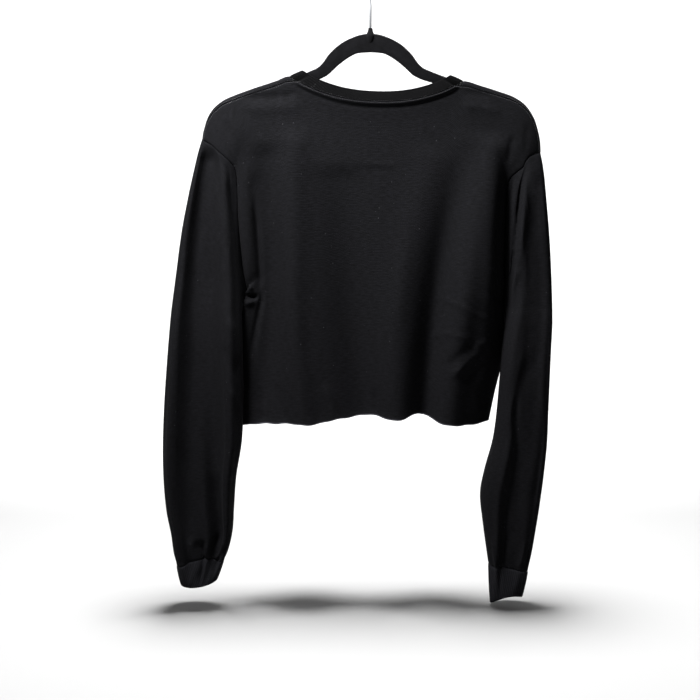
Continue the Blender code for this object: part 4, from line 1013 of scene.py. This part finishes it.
def buildHanger():
    bm = bmesh.new()
    middle = hanger["centre"]
    profile = [bm.verts.new((middle + radius, 0, z)) for radius, z in hanger["collar"]]
    line = [bm.edges.new(pair) for pair in zip(profile, profile[1:])]
    bmesh.ops.spin(bm, geom=profile + line, cent=(middle, 0, 0), axis=(0, 0, 1),
                   dvec=(0, 0, 0), angle=2 * math.pi, steps=hanger["collarSides"],
                   use_merge=True)
    bmesh.ops.remove_doubles(bm, verts=bm.verts, dist=0.01)
    count = round(hanger["rails"][-1][0] / hanger["step"])
    outs = [hanger["rails"][-1][0] * n / count for n in range(count + 1)]
    tops, unders = ([(out, curve(hanger["rails"], out)[n]) for out in outs] for n in (0, 1))
    outline = [(-x, z) for x, z in reversed(tops[1:])] + tops
    outline += list(reversed(unders)) + [(-x, z) for x, z in unders[1:]]
    verts = [bm.verts.new((middle + x, -hanger["thick"] / 2, z)) for x, z in outline]
    side = bm.faces.new(verts)
    made = bmesh.ops.extrude_face_region(bm, geom=[side])
    moved = [item for item in made["geom"] if isinstance(item, bmesh.types.BMVert)]
    bmesh.ops.translate(bm, verts=moved, vec=(0, hanger["thick"], 0))
    rims = [edge for vert in verts + moved for edge in vert.link_edges
            if edge.verts[0].co.y == edge.verts[1].co.y]
    bmesh.ops.bevel(bm, geom=list(set(rims)), offset=hanger["edge"], profile=0.5,
                    segments=hanger["edgeSteps"], affect="EDGES", clamp_overlap=True,
                    material=-1)
    bmesh.ops.recalc_face_normals(bm, faces=bm.faces)
    return bm


hangerPiece = finished(buildHanger(), "flocked_hanger", flockMaterial())
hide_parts("hanger")
print("hanger made")

hook = {
    "wire": 3.2, "inner": 20.0,
    "tip": -38.0, "neck": 230.0,    # degrees of the bend, from the wearer's right
    "step": 4.0,                    # degrees between two points of the wire
    "end": -96.5, "neckSteps": 16,
    "rounding": ((0, 0.45), (0.25, 0.78), (0.6, 0.95), (1.1, 1)),   # mm from the tip, share
}


def hookRoute():
    radius = hook["inner"] + hook["wire"] / 2
    centre = Vector((0, 0, -hook["inner"]))
    steps = round((hook["neck"] - hook["tip"]) / hook["step"])
    route = []
    for n in range(steps + 1):
        angle = math.radians(mix(hook["tip"], hook["neck"], n / steps))
        route.append(centre + Vector((math.cos(angle), 0, math.sin(angle))) * radius)
    turn = math.radians(hook["neck"] - 180)
    neckRadius = (hanger["centre"] - route[-1].x) / (1 - math.cos(turn))
    shankTop = route[-1].z - neckRadius * math.sin(turn)
    for n in range(1, hook["neckSteps"] + 1):
        left = turn * (1 - n / hook["neckSteps"])
        route.append(Vector((hanger["centre"] - neckRadius * (1 - math.cos(left)), 0,
                             shankTop + neckRadius * math.sin(left))))
    route.append(Vector((hanger["centre"], 0, hook["end"])))
    towards = (route[1] - route[0]).normalized()
    return [route[0] + towards * reach for reach, _ in hook["rounding"]] + route[1:]


def buildHook():
    route = hookRoute()
    wireCurve = bpy.data.curves.new("hookWire", "CURVE")
    wireCurve.dimensions = "3D"
    wireCurve.bevel_depth = hook["wire"] / 2
    wireCurve.bevel_resolution = 6
    wireCurve.use_fill_caps = True
    spline = wireCurve.splines.new("POLY")
    spline.points.add(len(route) - 1)
    for point, place in zip(spline.points, route):
        point.co = (*place, 1)
    for point, (_, share) in zip(spline.points, hook["rounding"]):
        point.radius = share
    guide = bpy.data.objects.new("hookGuide", wireCurve)
    bm = bmesh.new()
    bm.from_mesh(guide.to_mesh())
    guide.to_mesh_clear()
    bpy.data.objects.remove(guide)
    bmesh.ops.remove_doubles(bm, verts=bm.verts, dist=0.01)
    bmesh.ops.recalc_face_normals(bm, faces=bm.faces)
    return bm


hookPiece = finished(buildHook(), "wire_hook", wireMaterial())
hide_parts("hook")
print("hook made")

# studio: a pale sweep of floor and wall, soft lamps above and at the upper left, two on the wall
studio = {
    "floor": -872.0, "wall": 2400.0, "sweep": 800.0, "halfWidth": 1800.0, "top": 3000.0,
    "front": -4000.0, "bendSteps": 16, "paper": "#c6c6c6", "world": 0.05,
    "lamps": (      # name, place, aim, diameter, watts
        ("overhead", (-0.03, 0.08, 1.1), (-0.03, 0.03, -0.5), 0.6, 72.0),
        ("key", (-0.44, -0.46, 0.34), (-0.03, 0.0, -0.3), 0.35, 36.0),
        ("wallLeft", (-0.8, 0.9, 0.6), (-0.8, 2.4, 0.1), 1.2, 42.0),
        ("wallRight", (0.8, 0.9, 0.6), (0.8, 2.4, 0.1), 1.2, 42.0)),
    "camera": (-28.0, -1700.0, -233.0), "tilt": 80.58, "lens": 65.3,
}


def softLight(name, place, aim, size, power):
    lamp = bpy.data.lights.new(name, "AREA")
    lamp.shape = "DISK"
    lamp.size = size
    lamp.energy = power
    holder = bpy.data.objects.new(name, lamp)
    holder.location = place
    holder.rotation_euler = (Vector(aim) - Vector(place)).to_track_quat("-Z", "Y").to_euler()
    bpy.context.collection.objects.link(holder)


def buildSweep():
    bm = bmesh.new()
    bend = studio["sweep"]
    line = [(studio["front"], studio["floor"])]
    for n in range(studio["bendSteps"] + 1):
        angle = math.pi / 2 * n / studio["bendSteps"]
        line.append((studio["wall"] - bend + bend * math.sin(angle),
                     studio["floor"] + bend * (1 - math.cos(angle))))
    line.append((studio["wall"], studio["top"]))
    verts = [bm.verts.new((-studio["halfWidth"], y, z)) for y, z in line]
    edges = [bm.edges.new(pair) for pair in zip(verts, verts[1:])]
    made = bmesh.ops.extrude_edge_only(bm, edges=edges)
    moved = [item for item in made["geom"] if isinstance(item, bmesh.types.BMVert)]
    bmesh.ops.translate(bm, verts=moved, vec=(2 * studio["halfWidth"], 0, 0))
    bmesh.ops.recalc_face_normals(bm, faces=bm.faces)
    bm.faces.ensure_lookup_table()
    if bm.faces[0].normal.z < 0:
        bmesh.ops.reverse_faces(bm, faces=bm.faces)
    bmesh.ops.scale(bm, verts=bm.verts, vec=(mm, mm, mm))
    return bm


sweepData = bpy.data.meshes.new("paleSweep")
sweepMesh = buildSweep()
sweepMesh.to_mesh(sweepData)
sweepMesh.free()
sweepData.shade_smooth()
sweepData.materials.append(newMaterial("matteWhitePaper", {
    "Base Color": studio["paper"], "Roughness": 0.95, "Specular IOR Level": 0.1})[0])
sweep = bpy.data.objects.new("paleSweep", sweepData)
bpy.context.collection.objects.link(sweep)

world = bpy.data.worlds.new("whiteStudio")
world.use_nodes = True
setInputs(world.node_tree.nodes["Background"], {"Color": "#ffffff", "Strength": studio["world"]})
bpy.context.scene.world = world
bpy.context.scene.view_settings.view_transform = "Standard"
for lamp in studio["lamps"]:
    softLight(*lamp)

# the key lamp is flagged off the paper, whose shade comes from the lamp above alone
keyLit = bpy.data.collections.new("keyLit")
for piece in (*pieces.values(), stitchPiece, hangerPiece, hookPiece):
    keyLit.objects.link(piece)
bpy.data.objects["key"].light_linking.receiver_collection = keyLit

lens = bpy.data.cameras.new("camera")
lens.lens = studio["lens"]
lens.sensor_width = 36
camera = bpy.data.objects.new("camera", lens)
camera.location = Vector(studio["camera"]) * mm
camera.rotation_euler = (math.radians(studio["tilt"]), 0, 0)
bpy.context.collection.objects.link(camera)
bpy.context.scene.camera = camera
print("studio set")
